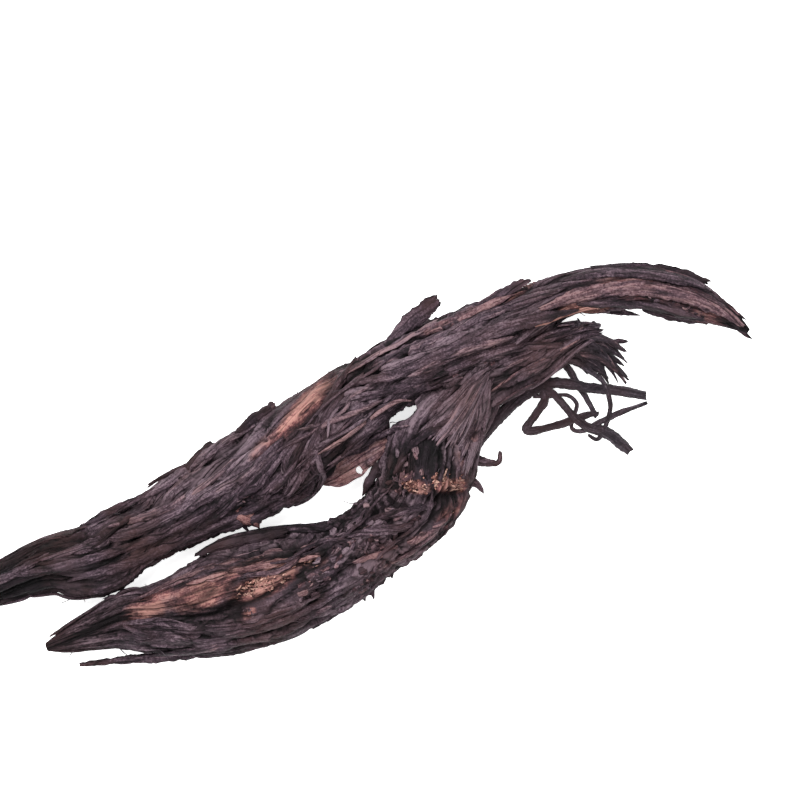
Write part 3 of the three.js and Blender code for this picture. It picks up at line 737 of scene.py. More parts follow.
# Each: line in plan, half width, thickness, lift, what both ends rise by, tone and wear.
handLaid = {
    "twist_bark": [
        ([(12.2, 19.4), (8.4, 16.2), (4.6, 12.9), (0, 9.2), (-4, 5.6), (-7.2, 3.2)],
         0.8, 0.6, 0.25, (0, 0), -0.15, 0),
        ([(12.9, 16.2), (8.3, 13.9), (4, 11), (0.5, 7.3), (-1.8, 3.9), (-4.8, 0.5)],
         0.9, 0.7, 0.4, (0, 0), -0.05, 0),
        ([(13.2, 13.1), (9.1, 13.7), (5.6, 13.3), (3.2, 11.8), (1.7, 9.8)],
         0.6, 0.35, 0.4, (0, 0.5), 0.28, 0.1),
        ([(14.5, 12), (10.1, 12.4), (6.6, 11.8), (4.2, 9.8), (3, 7.4)],
         0.45, 0.35, 0.5, (0, 0.5), 0.15, 0.1),
        ([(19.4, 8.6), (16.2, 9.3), (11, 7.8), (5.6, 6), (0.1, 4.8)],
         0.42, 0.35, 0.7, (0.2, 0.4), 0.2, 0.3),
        ([(17, 4.6), (14.8, 4.8), (10.2, 4.2), (5.7, 3.4), (1.4, 2.3)],
         0.6, 0.4, 0.5, (0.2, 0.3), 0.05, 0.15),
        ([(15.7, 9.6), (12, 8.9), (7, 7.3), (1.2, 6.2), (-4.2, 4.9)],
         0.5, 0.4, 0.5, (0.2, 0.3), 0.12, 0.12),
        ([(15.2, 10.4), (10.1, 9.9), (3.9, 9.5), (-2.2, 8.5), (-6.4, 7.6)],
         0.5, 0.4, 0.6, (0.2, 0.3), 0.1, 0.2),
        ([(12.5, 13.3), (9.3, 12.7), (7.2, 10.9), (3, 9.8), (-1.7, 10.1)],
         0.5, 0.3, 0.5, (0.3, 0.6), 0.2, 0.2),
        ([(6.6, 14), (3.2, 11), (-0.2, 7.8), (-1.9, 4.4), (-2, 1), (-4.3, -1.4), (-8, -2.1)],
         0.85, 0.6, 0.1, (0, 0), -0.12, 0.05),
        ([(7.4, 12.8), (3.8, 10.4), (0.8, 7), (-0.2, 3.4), (-0.6, 0.2), (-4.1, -2.2), (-7, -2.9)],
         0.7, 0.6, 0.15, (0, 0), 0.08, 0.05),
        ([(0.6, 9), (-3.8, 7.2), (-6.2, 4.6), (-6.6, 1.6), (-8.5, -1.2), (-12.9, -2)],
         0.75, 0.6, 0.05, (0, 0), 0.1, 0.1),
        ([(-3.8, 8.4), (-7.6, 6.6), (-9.8, 4.4), (-10.5, 1.8), (-13.3, -0.7)],
         0.7, 0.6, 0.05, (0, 0), -0.1, 0.1),
        ([(0.9, 7.2), (-3.1, 5.7), (-7, 2.6), (-10.4, 1)], 0.75, 0.8, 0.2, (0, 0.2), -0.05, 0),
        ([(0.9, 4.9), (-2.8, 3.1), (-6.5, 0.1), (-9.2, -0.9)], 0.7, 0.8, 0.2, (0, 0.2), 0.05, 0),
        ([(-2, 9.1), (-6.2, 6.7), (-11.2, 3.2), (-15.9, 1.7)], 0.8, 0.8, 0.2, (0, 0.2), 0, 0),
        ([(-4.6, 9.6), (-8.8, 7.4), (-13.7, 5.2), (-19.9, 4.2)], 0.8, 0.7, 0.2, (0, 0.2), 0.1, 0.15),
        ([(2.6, 9.4), (-1.8, 6.4), (-5.4, 2.2), (-8.2, 0.2)], 0.5, 0.7, 0.35, (0, 0.2), 0.1, 0),
    ],
    "crown_bark": [
        ([(8.6, 17.7), (16.1, 17.1), (25.8, 17.7), (35.8, 18.9), (43.6, 19.2), (51.2, 19.1)],
         1.2, 0.5, 0.2, (0, 0.3), 0.05, 0.15),
        ([(9.6, 14.9), (18.9, 14.2), (28.8, 15.1), (38.6, 15.7), (47, 15.2), (52.6, 14.6)],
         1.3, 0.5, 0.25, (0, 0.5), 0, 0.1),
        ([(10.4, 11.7), (19.9, 11.4), (29.7, 12), (39.2, 11.7), (48.1, 9.6)],
         1.2, 0.5, 0.25, (0, 0.3), -0.05, 0.1),
        ([(14, 16), (20, 16), (27, 16.6), (33, 17.2)], 0.8, 0.35, 0.45, (0.5, 0.4), 0.2, 0.1),
        ([(20, 12.8), (26, 13.4), (33, 13.9), (40, 13.6)], 0.7, 0.35, 0.5, (0.3, 0.5), 0.12, 0.2),
        ([(24, 19.2), (31, 19.6), (38, 20.6), (43, 21)], 0.7, 0.35, 0.25, (0.2, 0.4), 0.1, 0.3),
        ([(51.9, 20.6), (59.3, 19.6), (66.1, 17), (72.6, 13.6), (76.4, 10.6)],
         1.1, 0.4, 0.3, (0, 0.5), -0.05, 0.1),
        ([(46.6, 16.8), (54.3, 16.9), (63.4, 15.2), (71.6, 11.1), (77.6, 6.1), (80.1, 2.6)],
         1.4, 0.4, 0.2, (0, 0.2), 0.08, 0.25),
        ([(53, 15.4), (59, 13.7), (65.7, 10.9), (71.2, 7.4), (73.6, 5.9)],
         0.9, 0.4, 0.1, (0.2, 0.4), -0.1, 0.1),
        ([(44.5, 14.2), (49.5, 14.4), (53.5, 14.4), (57, 13.7)], 0.45, 0.3, 0.1, (0, 0.3), 0.2, 1),
    ],
    "tail_bark": [
        ([(-43.3, 5.5), (-36.2, 6.9), (-27.9, 8.5), (-19.3, 11.3), (-13.9, 12.6), (-8.6, 13.6)],
         1.2, 0.5, 0.15, (0.5, 0), 0.15, 0.12),
        ([(-54, 2.6), (-44.5, 2.3), (-33, 2.3), (-21.9, 3.9), (-12.6, 6), (-4.8, 9.1)],
         1.2, 0.5, 0.15, (0.1, 0), 0.05, 0.05),
        ([(-50, -2.6), (-38.6, -3), (-26.8, -2.1), (-14.9, -0.9), (-4.9, 0.3)],
         1.1, 0.6, 0.1, (0.1, 0), -0.08, 0),
        ([(-40, 4.4), (-31, 4), (-24, 5.2), (-18, 7), (-12.5, 9.8)], 0.7, 0.4, 0.35, (0.3, 0.2), 0.12, 0.2),
        ([(-60, 1.6), (-50, 0.2), (-41, -0.2), (-30, 0), (-20, 1.4)], 0.9, 0.4, 0.2, (0.1, 0.2), -0.05, 0),
        ([(-76, -0.4), (-68, 0.8), (-60, 1.6), (-52, 3.2)], 0.8, 0.35, 0.1, (0.1, 0.2), 0, 0),
    ],
    "side_bands": [
        ([(-1.2, -8.6), (-7.3, -6.9), (-14, -5.5), (-18.9, -5), (-23.7, -5.1), (-26, -5.6)],
         1.35, 0.8, 0.7, (0, 0.6), -0.22, 0),
        ([(-3, -11), (-11.9, -9.4), (-19.3, -8.6), (-25.9, -8.3), (-32.8, -8.9), (-38.8, -9.6)],
         0.8, 0.4, 0.35, (0, 0.2), 0.1, 0.25),
        ([(-5.5, -12.6), (-12.6, -11.3), (-20.8, -10.3), (-29.3, -9.9)],
         0.8, 0.35, 0.35, (0, 0.2), 0.14, 0.4),
        ([(-3.3, -19.8), (-12.5, -21.4), (-20.2, -21.5), (-30.9, -19.6), (-39.2, -16.2), (-42.9, -13.6)],
         1, 0.5, 0.3, (0, 0.2), 0, 0.1),
        ([(-5, -21.6), (-15.2, -23.2), (-24.5, -22.8), (-33.6, -21.6), (-40.8, -20.4)],
         0.9, 0.5, 0.3, (0, 0.2), 0, 0.15),
        ([(-44.1, -12.6), (-36.5, -14.6), (-30, -18), (-22.7, -19.8), (-15.1, -20), (-7.3, -19.2)],
         0.7, 0.4, 0.4, (0, 0.2), 0.05, 0.1),
        ([(1, -11.6), (-6, -10.4), (-12, -12.6), (-18, -11.9)], 0.8, 0.4, 0.35, (0, 0.5), 0, 0.2),
    ],
    "neck_bark": [
        ([(24.8, 3.4), (20.4, 2.4), (16, 0.6), (12.2, -2.6)], 0.8, 0.4, 0.5, (0.2, 0.6), -0.22, 0),
    ],
    "elbow_bark": [
        ([(21.6, -11.6), (15.6, -12.4), (9.9, -12.3), (4.6, -11.1), (0, -10.7)],
         0.9, 0.5, 0.3, (0.3, 0.3), 0, 0.1),
        ([(19.4, -13.2), (12.7, -15.2), (6, -15.7), (0.3, -15.6)], 0.8, 0.5, 0.3, (0.3, 0.3), 0.05, 0.25),
        ([(18.4, -10.4), (13, -9.8), (7.2, -9.3), (3.2, -9.4)], 0.7, 0.5, 0.3, (0.3, 0.3), -0.1, 0),
        ([(16.6, -15), (10.4, -17.2), (3.4, -18.2)], 0.6, 0.45, 0.3, (0.3, 0.3), 0.1, 0.2),
    ],
}

# The tongue of fine bark that runs from the crown down over the neck.
neckFan = {
    "left": [(34.8, 10), (30.6, 8.9), (26.4, 7), (21.6, 4.8), (17, 3)],
    "right": [(34, 8.2), (31.6, 3), (28.9, -2.2), (26.6, -6.4), (25, -9.6)],
    "strips": 26, "halfWidth": (0.3, 0.6), "thickness": (0.18, 0.34), "lift": (0.3, 0.6),
    "tone": (0.2, 0.09),
    "worn": (0.04, 0.2), "sway": 0.14, "startsBy": 0.14, "endsFrom": 0.78, "seed": 7700,
}


def fanned(look):
    # strips between two border lines: at share s of the way across, (1 - s) left + s right, each one
    # swaying a little and starting and ending at its own place
    draw = np.random.default_rng(look["seed"])
    left, right = np.array(look["left"]), np.array(look["right"])
    steps = np.linspace(0, 1, len(left))
    strips = []
    for share in np.linspace(0, 1, look["strips"]):
        line = (1 - share) * left + share * right + draw.normal(0, look["sway"], left.shape)
        here = np.linspace(draw.uniform(0, look["startsBy"]), draw.uniform(look["endsFrom"], 1), len(steps))
        line = np.stack([np.interp(here, steps, line[:, axis]) for axis in (0, 1)], -1)
        strips.append((line, draw.uniform(*look["halfWidth"]), draw.uniform(*look["thickness"]),
                       draw.uniform(*look["lift"]), (0.1, 0.25), draw.normal(*look["tone"]),
                       draw.uniform(*look["worn"])))
    return strips


handLaid["neck_bark"] += fanned(neckFan)
for index, (name, strips) in enumerate(handLaid.items()):
    parts = [laidStrip(*strip, 900 + 40 * index + k) for k, strip in enumerate(strips)]
    putParts(name, parts, driedBark)


def crumbs(name, look, material):
    # small torn flakes, thrown at random round each spot, lying at odd angles on what is under them. Each
    # is a short bent line, 1 - 1.6 t^2 wide, its ends lifted by 0.3 t^2
    steps, lowest = 9, 4.6
    draw = np.random.default_rng(look["seed"])
    t = np.linspace(-0.5, 0.5, steps)
    parts = []
    for x, y, long, wide, degrees, count, size in look["spots"]:
        heading = math.radians(degrees)
        c, s = math.cos(heading), math.sin(heading)
        for k in range(count):
            u, v = np.clip(draw.normal(0, 0.5, 2), -1, 1) * (long, wide)
            yaw = heading + draw.normal(0, look["turn"])
            reach = size * draw.uniform(0.8, 2.2)
            px = x + u * c - v * s + reach * t * math.cos(yaw)
            py = y + u * s + v * c + reach * t * math.sin(yaw)
            tilt = draw.normal(0, 0.22, 2)
            lift = draw.uniform(*look["lift"])
            pz = groundAt(px, py).mean() + lift + t * reach * tilt[0] + 0.3 * reach * t * t
            half = size * draw.uniform(*look["broad"]) * (1 - 1.6 * t * t)
            normal = np.broadcast_to(unit(np.array([draw.normal(0, 0.3), tilt[1], 1.0])), (steps, 3))
            thick = half * draw.uniform(0.12, 0.3)
            tone, worn = draw.normal(look["tone"], 0.18), draw.uniform(*look["worn"])
            line = np.stack([px, py, np.maximum(pz, lowest)], -1)
            parts.append(blade(line, normal, half, thick, look["seed"] + len(parts), jag=0.5, sides=8,
                               tone=tone, worn=worn, ragged=0.6))
    putParts(name, parts, material)


# Spots of flakes: middle in plan, half length, half width, direction in degrees, how many, size.
crumbs("bark_flakes", {
    "seed": 5200, "turn": 0.45, "broad": (0.3, 0.75), "lift": (-0.3, 0.15), "tone": 0, "worn": (0, 0.3),
    "spots": [(4, -12.6, 9, 5, 20, 90, 1.2), (-7, -15.5, 5, 3.5, 0, 36, 1),
              (-20.3, -18.3, 1.7, 1.3, 0, 26, 0.5),
              (13.5, -4, 5, 4, 60, 30, 1.1), (-21, 10.6, 5, 0.8, 25, 26, 0.8),
              (-9, 14.2, 4, 0.8, 20, 22, 0.8),
              (36, 12.5, 8, 2.5, 4, 30, 0.6), (70, 9.6, 8, 0.9, -38, 26, 0.6),
              (1, -19.6, 4, 1.2, 30, 26, 0.8),
              (17, -14, 6, 1.6, 30, 30, 0.7), (-14, 1, 8, 2, 10, 24, 0.6)]}, driedBark)
crumbs("torn_wood", {
    "seed": 6400, "turn": 0.45, "broad": (0.12, 0.4), "lift": (-0.35, 0.12), "tone": 0.06, "worn": (0, 0),
    "spots": [(15, -5.8, 1.8, 1.4, -16, 60, 0.85), (20.9, -7.4, 2.5, 1.5, -16, 76, 0.85),
              (-17, -14, 4.6, 1.5, 8, 90, 0.9), (-11, -13.6, 2.6, 0.8, 0, 26, 0.5),
              (-6.5, -13, 2, 1, 0, 22, 0.5),
              (53.8, 14.6, 3.6, 0.45, -8, 30, 0.5), (18.5, -12.8, 3.5, 1, 20, 18, 0.5)]},
       exposedWood)


def clearStrip(stations, seed, step, **settings):
    # a strip or wiry rootlet along stations of its own: x, y, z, half width, half thickness
    _, q = smoothLine(stations, step)
    normal = np.broadcast_to([0.0, 0.0, 1.0], (len(q), 3))
    return blade(q[:, :3], normal, q[:, 3], q[:, 4], seed, **settings)


# Each: stations, tone, wear and how far its edges bend up.
looseBark = {
    "backFlake": ([(17.2, 18.8, 8.6, 0.5, 0.5), (20, 20.7, 9.2, 0.9, 0.5), (23.8, 22.4, 10.2, 1.5, 0.5),
        (27, 23.5, 10.8, 1.6, 0.45), (29.5, 24.2, 11.1, 1.2, 0.4)], -0.05, 0.1, 0.25),
    "backFlakeUnder": ([(16.5, 18, 7.6, 0.9, 0.6), (20, 19.9, 8.4, 0.9, 0.6), (23, 21.2, 9, 0.8, 0.5),
        (25.4, 21.8, 9.2, 0.4, 0.4)], -0.2, 0, 0.1),
    "crownFlake": ([(31.5, 18.4, 9.6, 0.9, 0.5), (35.5, 20, 9.8, 1.2, 0.45), (40.5, 21.6, 10, 1.1, 0.4),
        (45.9, 22.8, 10.3, 0.7, 0.3)], -0.02, 0.14, 0.2),
    "crownFlakeUnder": ([(35, 18.8, 8.8, 0.9, 0.5), (40, 20.2, 9, 1, 0.45), (46.2, 21.2, 9.1, 0.5, 0.3)],
        -0.1, 0.2, 0.1),
    "crownSplitTop": ([(58, 20.2, 10.4, 1, 0.6), (66.5, 17.9, 10.2, 1.1, 0.5), (72.4, 15.1, 9.8, 1, 0.4),
        (76.9, 11.9, 9.4, 0.5, 0.3)], -0.25, 0.05, 0.1),
    "crownUnderFlakeA": ([(55.4, 13.9, 7.8, 0.6, 0.4), (58.8, 12.6, 7.6, 0.7, 0.35),
        (61.4, 11.3, 7.5, 0.5, 0.3), (63.6, 10.1, 7.4, 0.2, 0.2)], -0.1, 0.1, 0.1),
    "crownUnderFlakeB": ([(64.6, 11.4, 7.6, 0.7, 0.4), (67.8, 9, 7.5, 1, 0.5), (71, 7.2, 7.4, 0.9, 0.5),
        (74.8, 5.1, 7.4, 0.5, 0.3)], -0.1, 0.1, 0.1),
    "tailSplinterA": ([(-27, 8.4, 7.4, 0.8, 0.45), (-33, 7.6, 7.8, 0.6, 0.35), (-39.4, 6.9, 7.6, 0.7, 0.35),
        (-44.4, 6, 7.2, 0.35, 0.25)], -0.1, 0.1, 0.1),
    "tailSplinterB": ([(-23.5, 10.4, 6.6, 0.5, 0.4), (-27.5, 10, 6.4, 0.35, 0.25),
        (-31, 9.2, 6.2, 0.3, 0.2)], -0.15, 0, 0.1),
    "backCrumbA": ([(-24, 9.2, 6.6, 0.8, 0.6), (-21, 11.2, 6.8, 1, 0.8), (-17.4, 12.6, 6.8, 0.9, 0.6)],
        -0.25, 0, 0.1),
    "backCrumbB": ([(-12.6, 13, 7, 0.8, 0.6), (-9, 14.6, 7.2, 1, 0.8), (-5.4, 15.6, 7.2, 0.8, 0.5)], -0.25,
        0, 0.1),
    "elbowSpur": ([(24, -2.6, 7.4, 1.6, 0.9), (27.6, -5.8, 7.4, 1, 0.6), (30.4, -7, 7.8, 0.6, 0.4),
        (31.6, -5.2, 8.6, 0.35, 0.25)], -0.1, 0, 0),
    "outerStrand": ([(-24, -22.6, 5.8, 1.5, 0.9), (-33.5, -22.4, 5.2, 1.1, 0.6),
        (-40.7, -20.9, 4.6, 0.9, 0.5), (-48, -19.2, 4.2, 0.7, 0.4), (-54, -17.9, 4, 0.4, 0.3)], 0, 0.1, 0),
    "innerStrand": ([(-27, -20.2, 5.6, 1.7, 0.9), (-36, -19.2, 5.2, 1, 0.6), (-41, -18, 5.2, 0.8, 0.5),
        (-46, -16, 5.4, 0.9, 0.6)], 0, 0.1, 0),
    "tornTip": ([(-10, -6.6, 9.6, 0.9, 0.6), (-16, -5.6, 9.4, 1.1, 0.5), (-22, -5.1, 9, 1, 0.5),
        (-26.2, -5.6, 8.4, 0.5, 0.3)], -0.25, 0, 0.1),
    "lowerEdge": ([(-29, -2, 6.2, 0.7, 0.8), (-20, -2, 6.6, 1.6, 1.6), (-13.5, -2.1, 6.8, 1.7, 1.7),
        (-8.8, -1.3, 6.8, 1.6, 1.6), (-3.6, -0.9, 6.6, 1.3, 1)], -0.1, 0.05, 0),
    "hornKnot": ([(-18.6, 1.4, 8.6, 0.8, 0.6), (-16.8, -0.6, 8.4, 1.5, 1), (-15, -2.6, 7.4, 1.4, 0.9),
        (-14.4, -4.4, 6.2, 0.4, 0.3)], 0, 0.45, 0.1),
    "knotSpike": ([(-16.6, -1.8, 7.4, 0.6, 0.5), (-16.8, -3.6, 6.6, 0.4, 0.35),
        (-16.4, -4.8, 6.2, 0.15, 0.15)], -0.1, 0.1, 0),
    "tipHookA": ([(72, 11.6, 9.6, 1, 0.5), (76.6, 8.4, 9.2, 0.9, 0.4), (79.8, 5.2, 8.6, 0.6, 0.3),
        (81.3, 3.4, 8, 0.25, 0.2)], -0.1, 0.2, 0.1),
    "tipHookB": ([(70.6, 8.4, 8.6, 0.9, 0.5), (73.6, 6, 8.2, 0.7, 0.4), (75.6, 4.4, 8, 0.3, 0.2)], -0.1,
        0.3, 0.1),
    "tipHookC": ([(77.6, 4.6, 8.2, 0.8, 0.4), (79.6, 2.4, 7.8, 0.6, 0.3), (80.9, 0.2, 7.4, 0.3, 0.2)],
        -0.15, 0.2, 0.1),
    "budStalk": ([(54, 8.8, 7, 0.2, 0.16), (57.4, 7.4, 7.3, 0.16, 0.14), (58.1, 7.1, 7.4, 0.42, 0.34),
        (59.1, 6.7, 7.4, 0.46, 0.36), (59.9, 6.5, 7.4, 0.15, 0.12)], -0.1, 0, 0),
    "bellyBarb": ([(-20.8, -22.6, 6.8, 0.8, 0.5), (-20.9, -24.4, 6.6, 0.5, 0.35),
        (-19.9, -25.9, 6.6, 0.2, 0.15)], -0.2, 0, 0),
    "elbowBarbA": ([(1.8, -17.6, 8, 1.3, 0.6), (1.6, -20.2, 7, 1.3, 0.6), (1.2, -22.6, 6.6, 0.5, 0.3)],
        -0.1, 0, 0.1),
    "elbowBarbB": ([(-1.4, -18.4, 7.6, 1.2, 0.6), (-1.2, -20.4, 7, 1, 0.5), (-0.4, -22.6, 6.6, 0.3, 0.2)],
        0, 0.1, 0.1),
    "elbowBarbC": ([(6, -16.8, 7.4, 1, 0.5), (6.2, -19, 7, 0.8, 0.5), (5.6, -20.8, 6.6, 0.25, 0.2)], -0.1,
        0.1, 0.1),
    "elbowBarbD": ([(12, -15.4, 7.4, 1, 0.5), (12.4, -17.4, 7, 0.7, 0.4), (12, -19.2, 6.6, 0.2, 0.2)], -0.1,
        0, 0.1),
    "neckBarb": ([(25, -8.8, 7.6, 0.9, 0.5), (25.8, -9.8, 7.2, 0.6, 0.4), (26.3, -10.8, 7, 0.3, 0.2)], 0,
        0.1, 0.1),
    "neckEdge": ([(9.8, -0.6, 7.6, 0.8, 0.8), (7.4, -2.8, 7.2, 0.9, 0.8), (6, -4.4, 6.8, 0.5, 0.5)], -0.2,
        0, 0),
}
putParts("loose_bark", [
    clearStrip(stations, 1500 + k, 0.4, tone=tone, worn=worn, bow=bow, jag=1.2, ragged=0.35, sides=12)
    for k, (stations, tone, worn, bow) in enumerate(looseBark.values())], driedBark)


forkFlap = {
    "stations": [(19.2, 3.6, 8.4, 1.2, 0.2), (16, 3.3, 8.2, 1.3, 0.1), (12.2, 3, 7.9, 1.7, -0.2),
                 (8.1, 2.2, 7.4, 2.5, -0.4), (4.9, 1.4, 7, 3.1, -0.5), (1.7, 0.9, 6.6, 2.9, -0.4),
                 (-0.9, 0.8, 6.2, 1.6, -0.2)],  # x, y, z, half width, how far the rim stands up
    "holes": [(0.9, 2.6, 0.75, 0.5, 30), (6.2, -0.3, 0.55, 0.75, 20), (8, 3.6, 0.8, 0.4, 35)],
    "grid": (150, 56), "thickness": 0.34, "tone": 0.1, "worn": 0.3, "seed": 61,
}


def holedFlap(name, look):
    # a thin sheet on a grid of length u and width v, rippled across its fibres, with a ragged rim. Squares
    # inside a hole are left out, and a Solidify gives it its thickness
    grid, seed = look["grid"], look["seed"]
    _, q = smoothLine(look["stations"], 0.1)
    q = q[np.linspace(0, len(q) - 1, grid[0]).astype(int)]
    along = unit(np.gradient(q[:, :3], axis=0))
    side = unit(np.cross([0.0, 0.0, 1.0], along))
    v = np.linspace(-1, 1, grid[1])[None, :]
    run = np.linspace(0, 1, grid[0])[:, None] * np.linalg.norm(q[-1, :3] - q[0, :3])
    rim = 1 + 0.16 * noise(run / 1.9, np.sign(v) * 3, 0.3, seed) * np.abs(v)
    across = v * q[:, 3:4] * rim
    ripple = 0.35 * noise(run / 6, across / 0.9, 0.2, seed + 1)
    ripple = ripple + 0.12 * noise(run / 2, across / 0.35, 0.6, seed + 2)
    place = q[:, None, :3] + side[:, None] * across[..., None]
    place[..., 2] += ripple + q[:, 4:5] * v * v
    index = np.arange(grid[0] * grid[1]).reshape(grid)
    quads = np.stack([index[:-1, :-1], index[1:, :-1], index[1:, 1:], index[:-1, 1:]], -1).reshape(-1, 4)
    middle = place.reshape(-1, 3)[quads].mean(1)
    kept = np.ones(len(quads), bool)
    for x, y, long, wide, degrees in look["holes"]:
        u, w = planFrame(middle, x, y, degrees)
        uneven = 0.35 * noise(middle[:, 0] / 0.6, middle[:, 1] / 0.6, 0.1, seed + 5)
        kept &= (u / long) ** 2 + (w / wide) ** 2 + uneven > 1
    used, renumbered = np.unique(quads[kept], return_inverse=True)
    fibre = np.stack([run + 0 * across, across, 0 * across + seed], -1).reshape(-1, 3)[used]
    worn = look["worn"] + 0.2 * noise(fibre[:, 0] / 3, fibre[:, 1] / 1.2, 0.5, seed + 6)
    # painted shade in the troughs of the ripples
    values = {"fibre": fibre, "paintedShade": smooth(0.1, -0.35, ripple).reshape(-1)[used] * 0.6,
              "tone": np.full(len(used), look["tone"]), "worn": worn}
    verts, noTris = keepInBox(place.reshape(-1, 3)[used]), np.zeros((0, 3), int)
    piece = putMesh(name, verts, renumbered.reshape(-1, 4), noTris, values, driedBark)
    shell = piece.modifiers.new("thickness", "SOLIDIFY")
    shell.thickness, shell.offset = look["thickness"] * metres, 0.0


holedFlap("fork_flap", forkFlap)


def brush(name, look):
    # frayed fibres: each is a bent line from inside the stub to a point on the fan of ends, drawn at random
    draw = np.random.default_rng(look["seed"])
    fan = np.array(look["fan"], float)
    t = np.linspace(0, 1, 30)[:, None]
    parts = []
    for k in range(look["count"]):
        q = draw.uniform(0, len(fan) - 1)
        i = min(int(q), len(fan) - 2)
        end = fan[i] + (fan[i + 1] - fan[i]) * (q - i)
        start = np.array(look["start"]) + draw.uniform(-1, 1, 3) * look["spread"]
        end = start + (end - start) * draw.uniform(*look["reach"]) + draw.normal(0, 0.35, 3)
        bend = start + np.array([0.62, 0.18, 0.45]) * (end - start) + [1.2, 0.6, draw.uniform(-0.5, 1.3)]
        line = (1 - t) ** 2 * start + 2 * t * (1 - t) * bend + t * t * end
        line = line + 0.25 * noise(t * 5, k * 1.7, [[0.1, 5.3, 9.7]], look["seed"]) * t
        half = draw.uniform(*look["halfWidth"]) * np.minimum(1, 0.5 + 3 * (1 - t[:, 0]))
        normal = unit(np.array([draw.normal(0, 0.5), draw.normal(0, 0.5), 1.0]))
        thick = half * draw.uniform(0.35, 0.9)
        parts.append(blade(line, np.broadcast_to(normal, line.shape), half, thick, look["seed"] + k, jag=1.1,
                           sides=8, tone=draw.normal(-0.08, 0.12), worn=draw.uniform(0, 0.2)))
    putParts(name, parts, rootletSkin)


brush("frayed_brush", {
    "seed": 2100, "count": 58, "start": (46.5, 9.4, 6.8), "spread": (3, 2.2, 1.8), "reach": (0.6, 1.02),
    "halfWidth": (0.26, 0.75),
    "fan": [(53, 13.4, 7.8), (55.4, 11.8, 7.8), (56.2, 9.3, 7.6), (57, 6.4, 7.2), (58.6, 4.4, 6.8),
            (59.3, 2.4, 6.4), (58.5, 0.4, 6), (56.8, -0.2, 5.6), (55, 0.2, 5.4), (54.6, 2.6, 5.4),
            (53, 4.6, 5.2)]})


def hairs(name, look):
    # single fibres that stand off the limbs: a bent line from the bark outwards, thinner than a pin
    draw = np.random.default_rng(look["seed"])
    t = np.linspace(0, 1, 12)[:, None]
    parts = []
    for settings, count in look["on"]:
        limb = settings["limb"]
        for k in range(count):
            run = draw.uniform(0.04, 0.96) * limb["run"][-1]
            angle = draw.uniform(0, 2 * np.pi)
            pair, out = onLimb(limb, np.array([run, run + 1]), np.array([angle, angle]), np.full(2, -0.3))
            forward = unit(pair[1] - pair[0]) * draw.choice([-1, 1])
            long = draw.uniform(*look["length"])
            line = pair[0] + t * long * forward * draw.uniform(0.5, 1.0)
            line = line + t**1.5 * long * draw.uniform(0.1, 0.75) * out[0]
            line = line + 0.5 * noise(t * 2.5, k * 2.3, [[0.2, 4.1, 8.6]], look["seed"] + 1) * t
            half = draw.uniform(*look["halfWidth"]) * (1 - 0.7 * t[:, 0])
            parts.append(blade(line, np.broadcast_to([0.1, 0.1, 1.0], line.shape), half, half * 0.8,
                               look["seed"] + k, jag=0.1, sides=6, tone=draw.normal(0.0, 0.12)))
    putParts(name, parts, rootletSkin)


hairs("loose_hairs", {
    "on": [(mainRoot, 95), (sideRoot, 75), (stemStub, 30)], "length": (1.5, 5.0), "halfWidth": (0.07, 0.16),
    "seed": 3300})


rootlets = {
    "longStrap": [(26, -3.6, 6.2, 1.4, 1), (31.7, -0.2, 6.4, 1.2, 1), (38, 2.8, 6.4, 1.1, 0.9),
        (42.4, 3.7, 6.2, 1.1, 0.9), (45.9, 3.1, 6, 1, 0.8), (50.8, 0.5, 6.1, 0.95, 0.8),
        (55.8, -1.7, 6.4, 0.95, 0.8), (60, -4.1, 6.8, 0.85, 0.7)],
    "elbowed": [(42.6, 3, 5.8, 0.8, 0.7), (42.3, 0.9, 5.4, 0.8, 0.7), (40, -0.9, 5, 0.75, 0.7),
        (37.9, -2.4, 4.8, 0.75, 0.7), (37.4, -3, 4.8, 0.75, 0.7), (38.1, -3.6, 4.8, 0.8, 0.7),
        (40.6, -3.9, 4.8, 0.8, 0.75), (44, -4.1, 4.9, 0.75, 0.7), (48.3, -4, 5, 0.7, 0.6),
        (51, -4.4, 4.8, 0.3, 0.3)],
    "crossing": [(42.8, 3.6, 6.2, 0.7, 0.6), (44.9, 0.2, 5.8, 0.7, 0.65), (46.5, -3.6, 5.4, 0.75, 0.65),
        (48.5, -6.4, 4.9, 0.85, 0.75), (50.8, -7.9, 4.6, 1, 0.8), (52.8, -10.5, 4.2, 1.1, 0.9),
        (54.3, -13, 3.9, 0.9, 0.8)],
    "drooping": [(47.6, 8, 5.4, 0.7, 0.6), (48.8, 3, 5, 0.65, 0.55), (49.9, -2.1, 4.8, 0.5, 0.5),
        (50.4, -5, 4.7, 0.5, 0.5)],
    "hooked": [(48.4, 7.6, 6, 0.6, 0.5), (51.5, 3.7, 6.8, 0.5, 0.45), (53.4, 0.8, 6.8, 0.5, 0.45),
        (53.5, -3.1, 6.2, 0.5, 0.45), (52.3, -5.8, 5.4, 0.45, 0.4), (50.6, -7.9, 4.8, 0.45, 0.4),
        (49.2, -8.9, 4.5, 0.4, 0.35), (47.9, -7.6, 4.6, 0.3, 0.3)],
    "looped": [(40.6, 2.4, 5.6, 0.45, 0.4), (43.4, 1.3, 5.6, 0.38, 0.35), (46.4, 0.6, 5.5, 0.38, 0.35),
        (47.7, -1.6, 5.2, 0.38, 0.35), (46.1, -3.9, 4.8, 0.38, 0.35), (45.5, -5.6, 4.3, 0.38, 0.35),
        (47.4, -6.6, 4.3, 0.45, 0.4), (51.5, -5.9, 4.9, 0.6, 0.5), (55.5, -5.5, 5.4, 0.5, 0.4),
        (59.9, -5.4, 5.8, 0.35, 0.3)],
}
putParts("rootlets", [
    clearStrip(stations, 1700 + k, 0.3, tone=0.02 * k - 0.04, jag=0.25, ragged=0.22, sides=14)
    for k, stations in enumerate(rootlets.values())], rootletSkin)


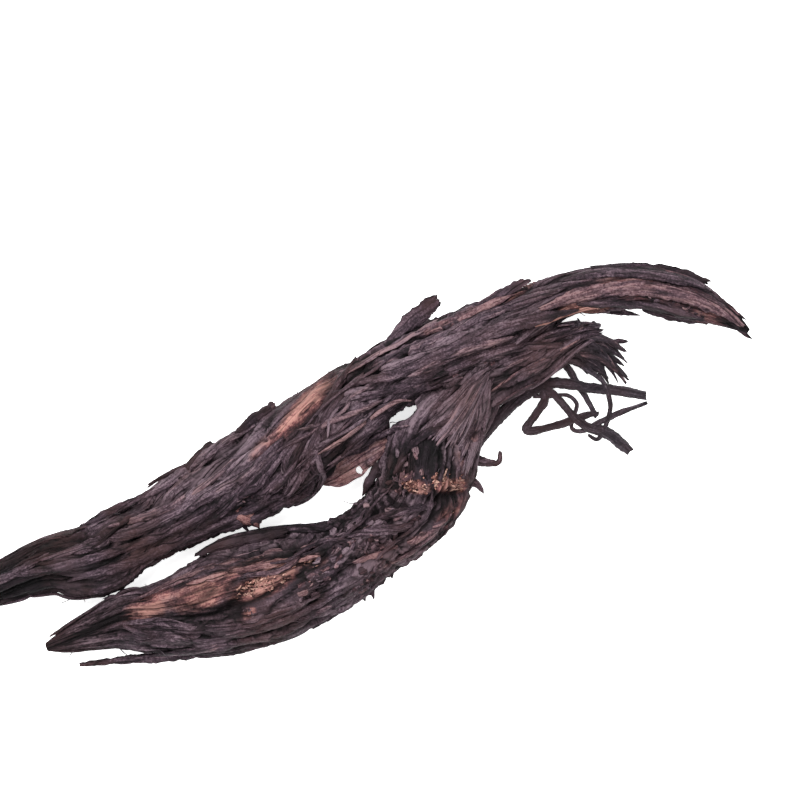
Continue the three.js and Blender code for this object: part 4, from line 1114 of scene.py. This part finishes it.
def lookFrom(thing, place, target, roll=0.0):
    # points a camera or lamp at a target, turned about its own view by roll degrees
    aim = np.array(target, float) - np.array(place, float)
    away = math.atan2(np.hypot(aim[0], aim[1]), -aim[2])
    thing.location = np.array(place) * metres
    thing.rotation_euler = (away, 0.0, math.atan2(-aim[0], aim[1]) if away > 1e-6 else math.radians(roll))


def makeCamera(view):
    # looks straight down on the crown half of the root. The tail runs out of the picture
    data = bpy.data.cameras.new("camera")
    data.lens, data.sensor_width, data.sensor_fit = view["lens"], view["sensor"], "HORIZONTAL"
    data.clip_start, data.clip_end = 0.01, 10.0
    camera = linked("camera", data)
    away = view["frameWidth"] * view["lens"] / view["sensor"]
    target = (view["x"], view["y"], view["height"])
    lookFrom(camera, (view["x"], view["y"], view["height"] + away), target, view["roll"])
    bpy.context.scene.camera = camera


def makeLamps(lamps, target):
    # round lamps that all point at one place
    for name, (place, size, power) in lamps.items():
        data = bpy.data.lights.new(name, "AREA")
        data.shape, data.size, data.energy = "DISK", size * metres, power
        lookFrom(linked(name, data), place, target)


def setInputs(node, values):
    for key, value in values.items():
        node.inputs[key].default_value = value


def makeTable(look):
    # a wide square of white paper that glows a little, so that it takes no grey shadow, and a white sky
    data = bpy.data.meshes.new("table_top")
    corners = [(x * look["half"], y * look["half"], 0) for x, y in ((-1, -1), (1, -1), (1, 1), (-1, 1))]
    data.from_pydata(corners, [], [(0, 1, 2, 3)])
    paper = bpy.data.materials.new("paleTable")
    paper.use_nodes = True
    setInputs(paper.node_tree.nodes["Principled BSDF"], look["paper"])
    data.materials.append(paper)
    linked("table_top", data)
    world = bpy.data.worlds.new("studio")
    world.use_nodes = True
    setInputs(world.node_tree.nodes["Background"], look["sky"])
    bpy.context.scene.world = world


makeCamera({"x": 17.3, "y": 9.4, "height": 7.0, "frameWidth": 145.5, "roll": -18.5, "lens": 100.0,
            "sensor": 36.0})
makeTable({
    "half": 3.0,  # metres
    "paper": {"Base Color": (0.93, 0.93, 0.93, 1), "Roughness": 0.9, "Specular IOR Level": 0.1,
              "Emission Color": (1, 1, 1, 1), "Emission Strength": 0.75},
    "sky": {"Color": (1, 1, 1, 1), "Strength": 0.75}})
# Each lamp: place, size and power.
makeLamps({"key": ((-60, 300, 520), 420, 7.0), "fill": ((140, -220, 520), 420, 2.2)}, (10, 3, 5))
bpy.context.scene.view_settings.view_transform = "Standard"
print("camera, lamps and table made")
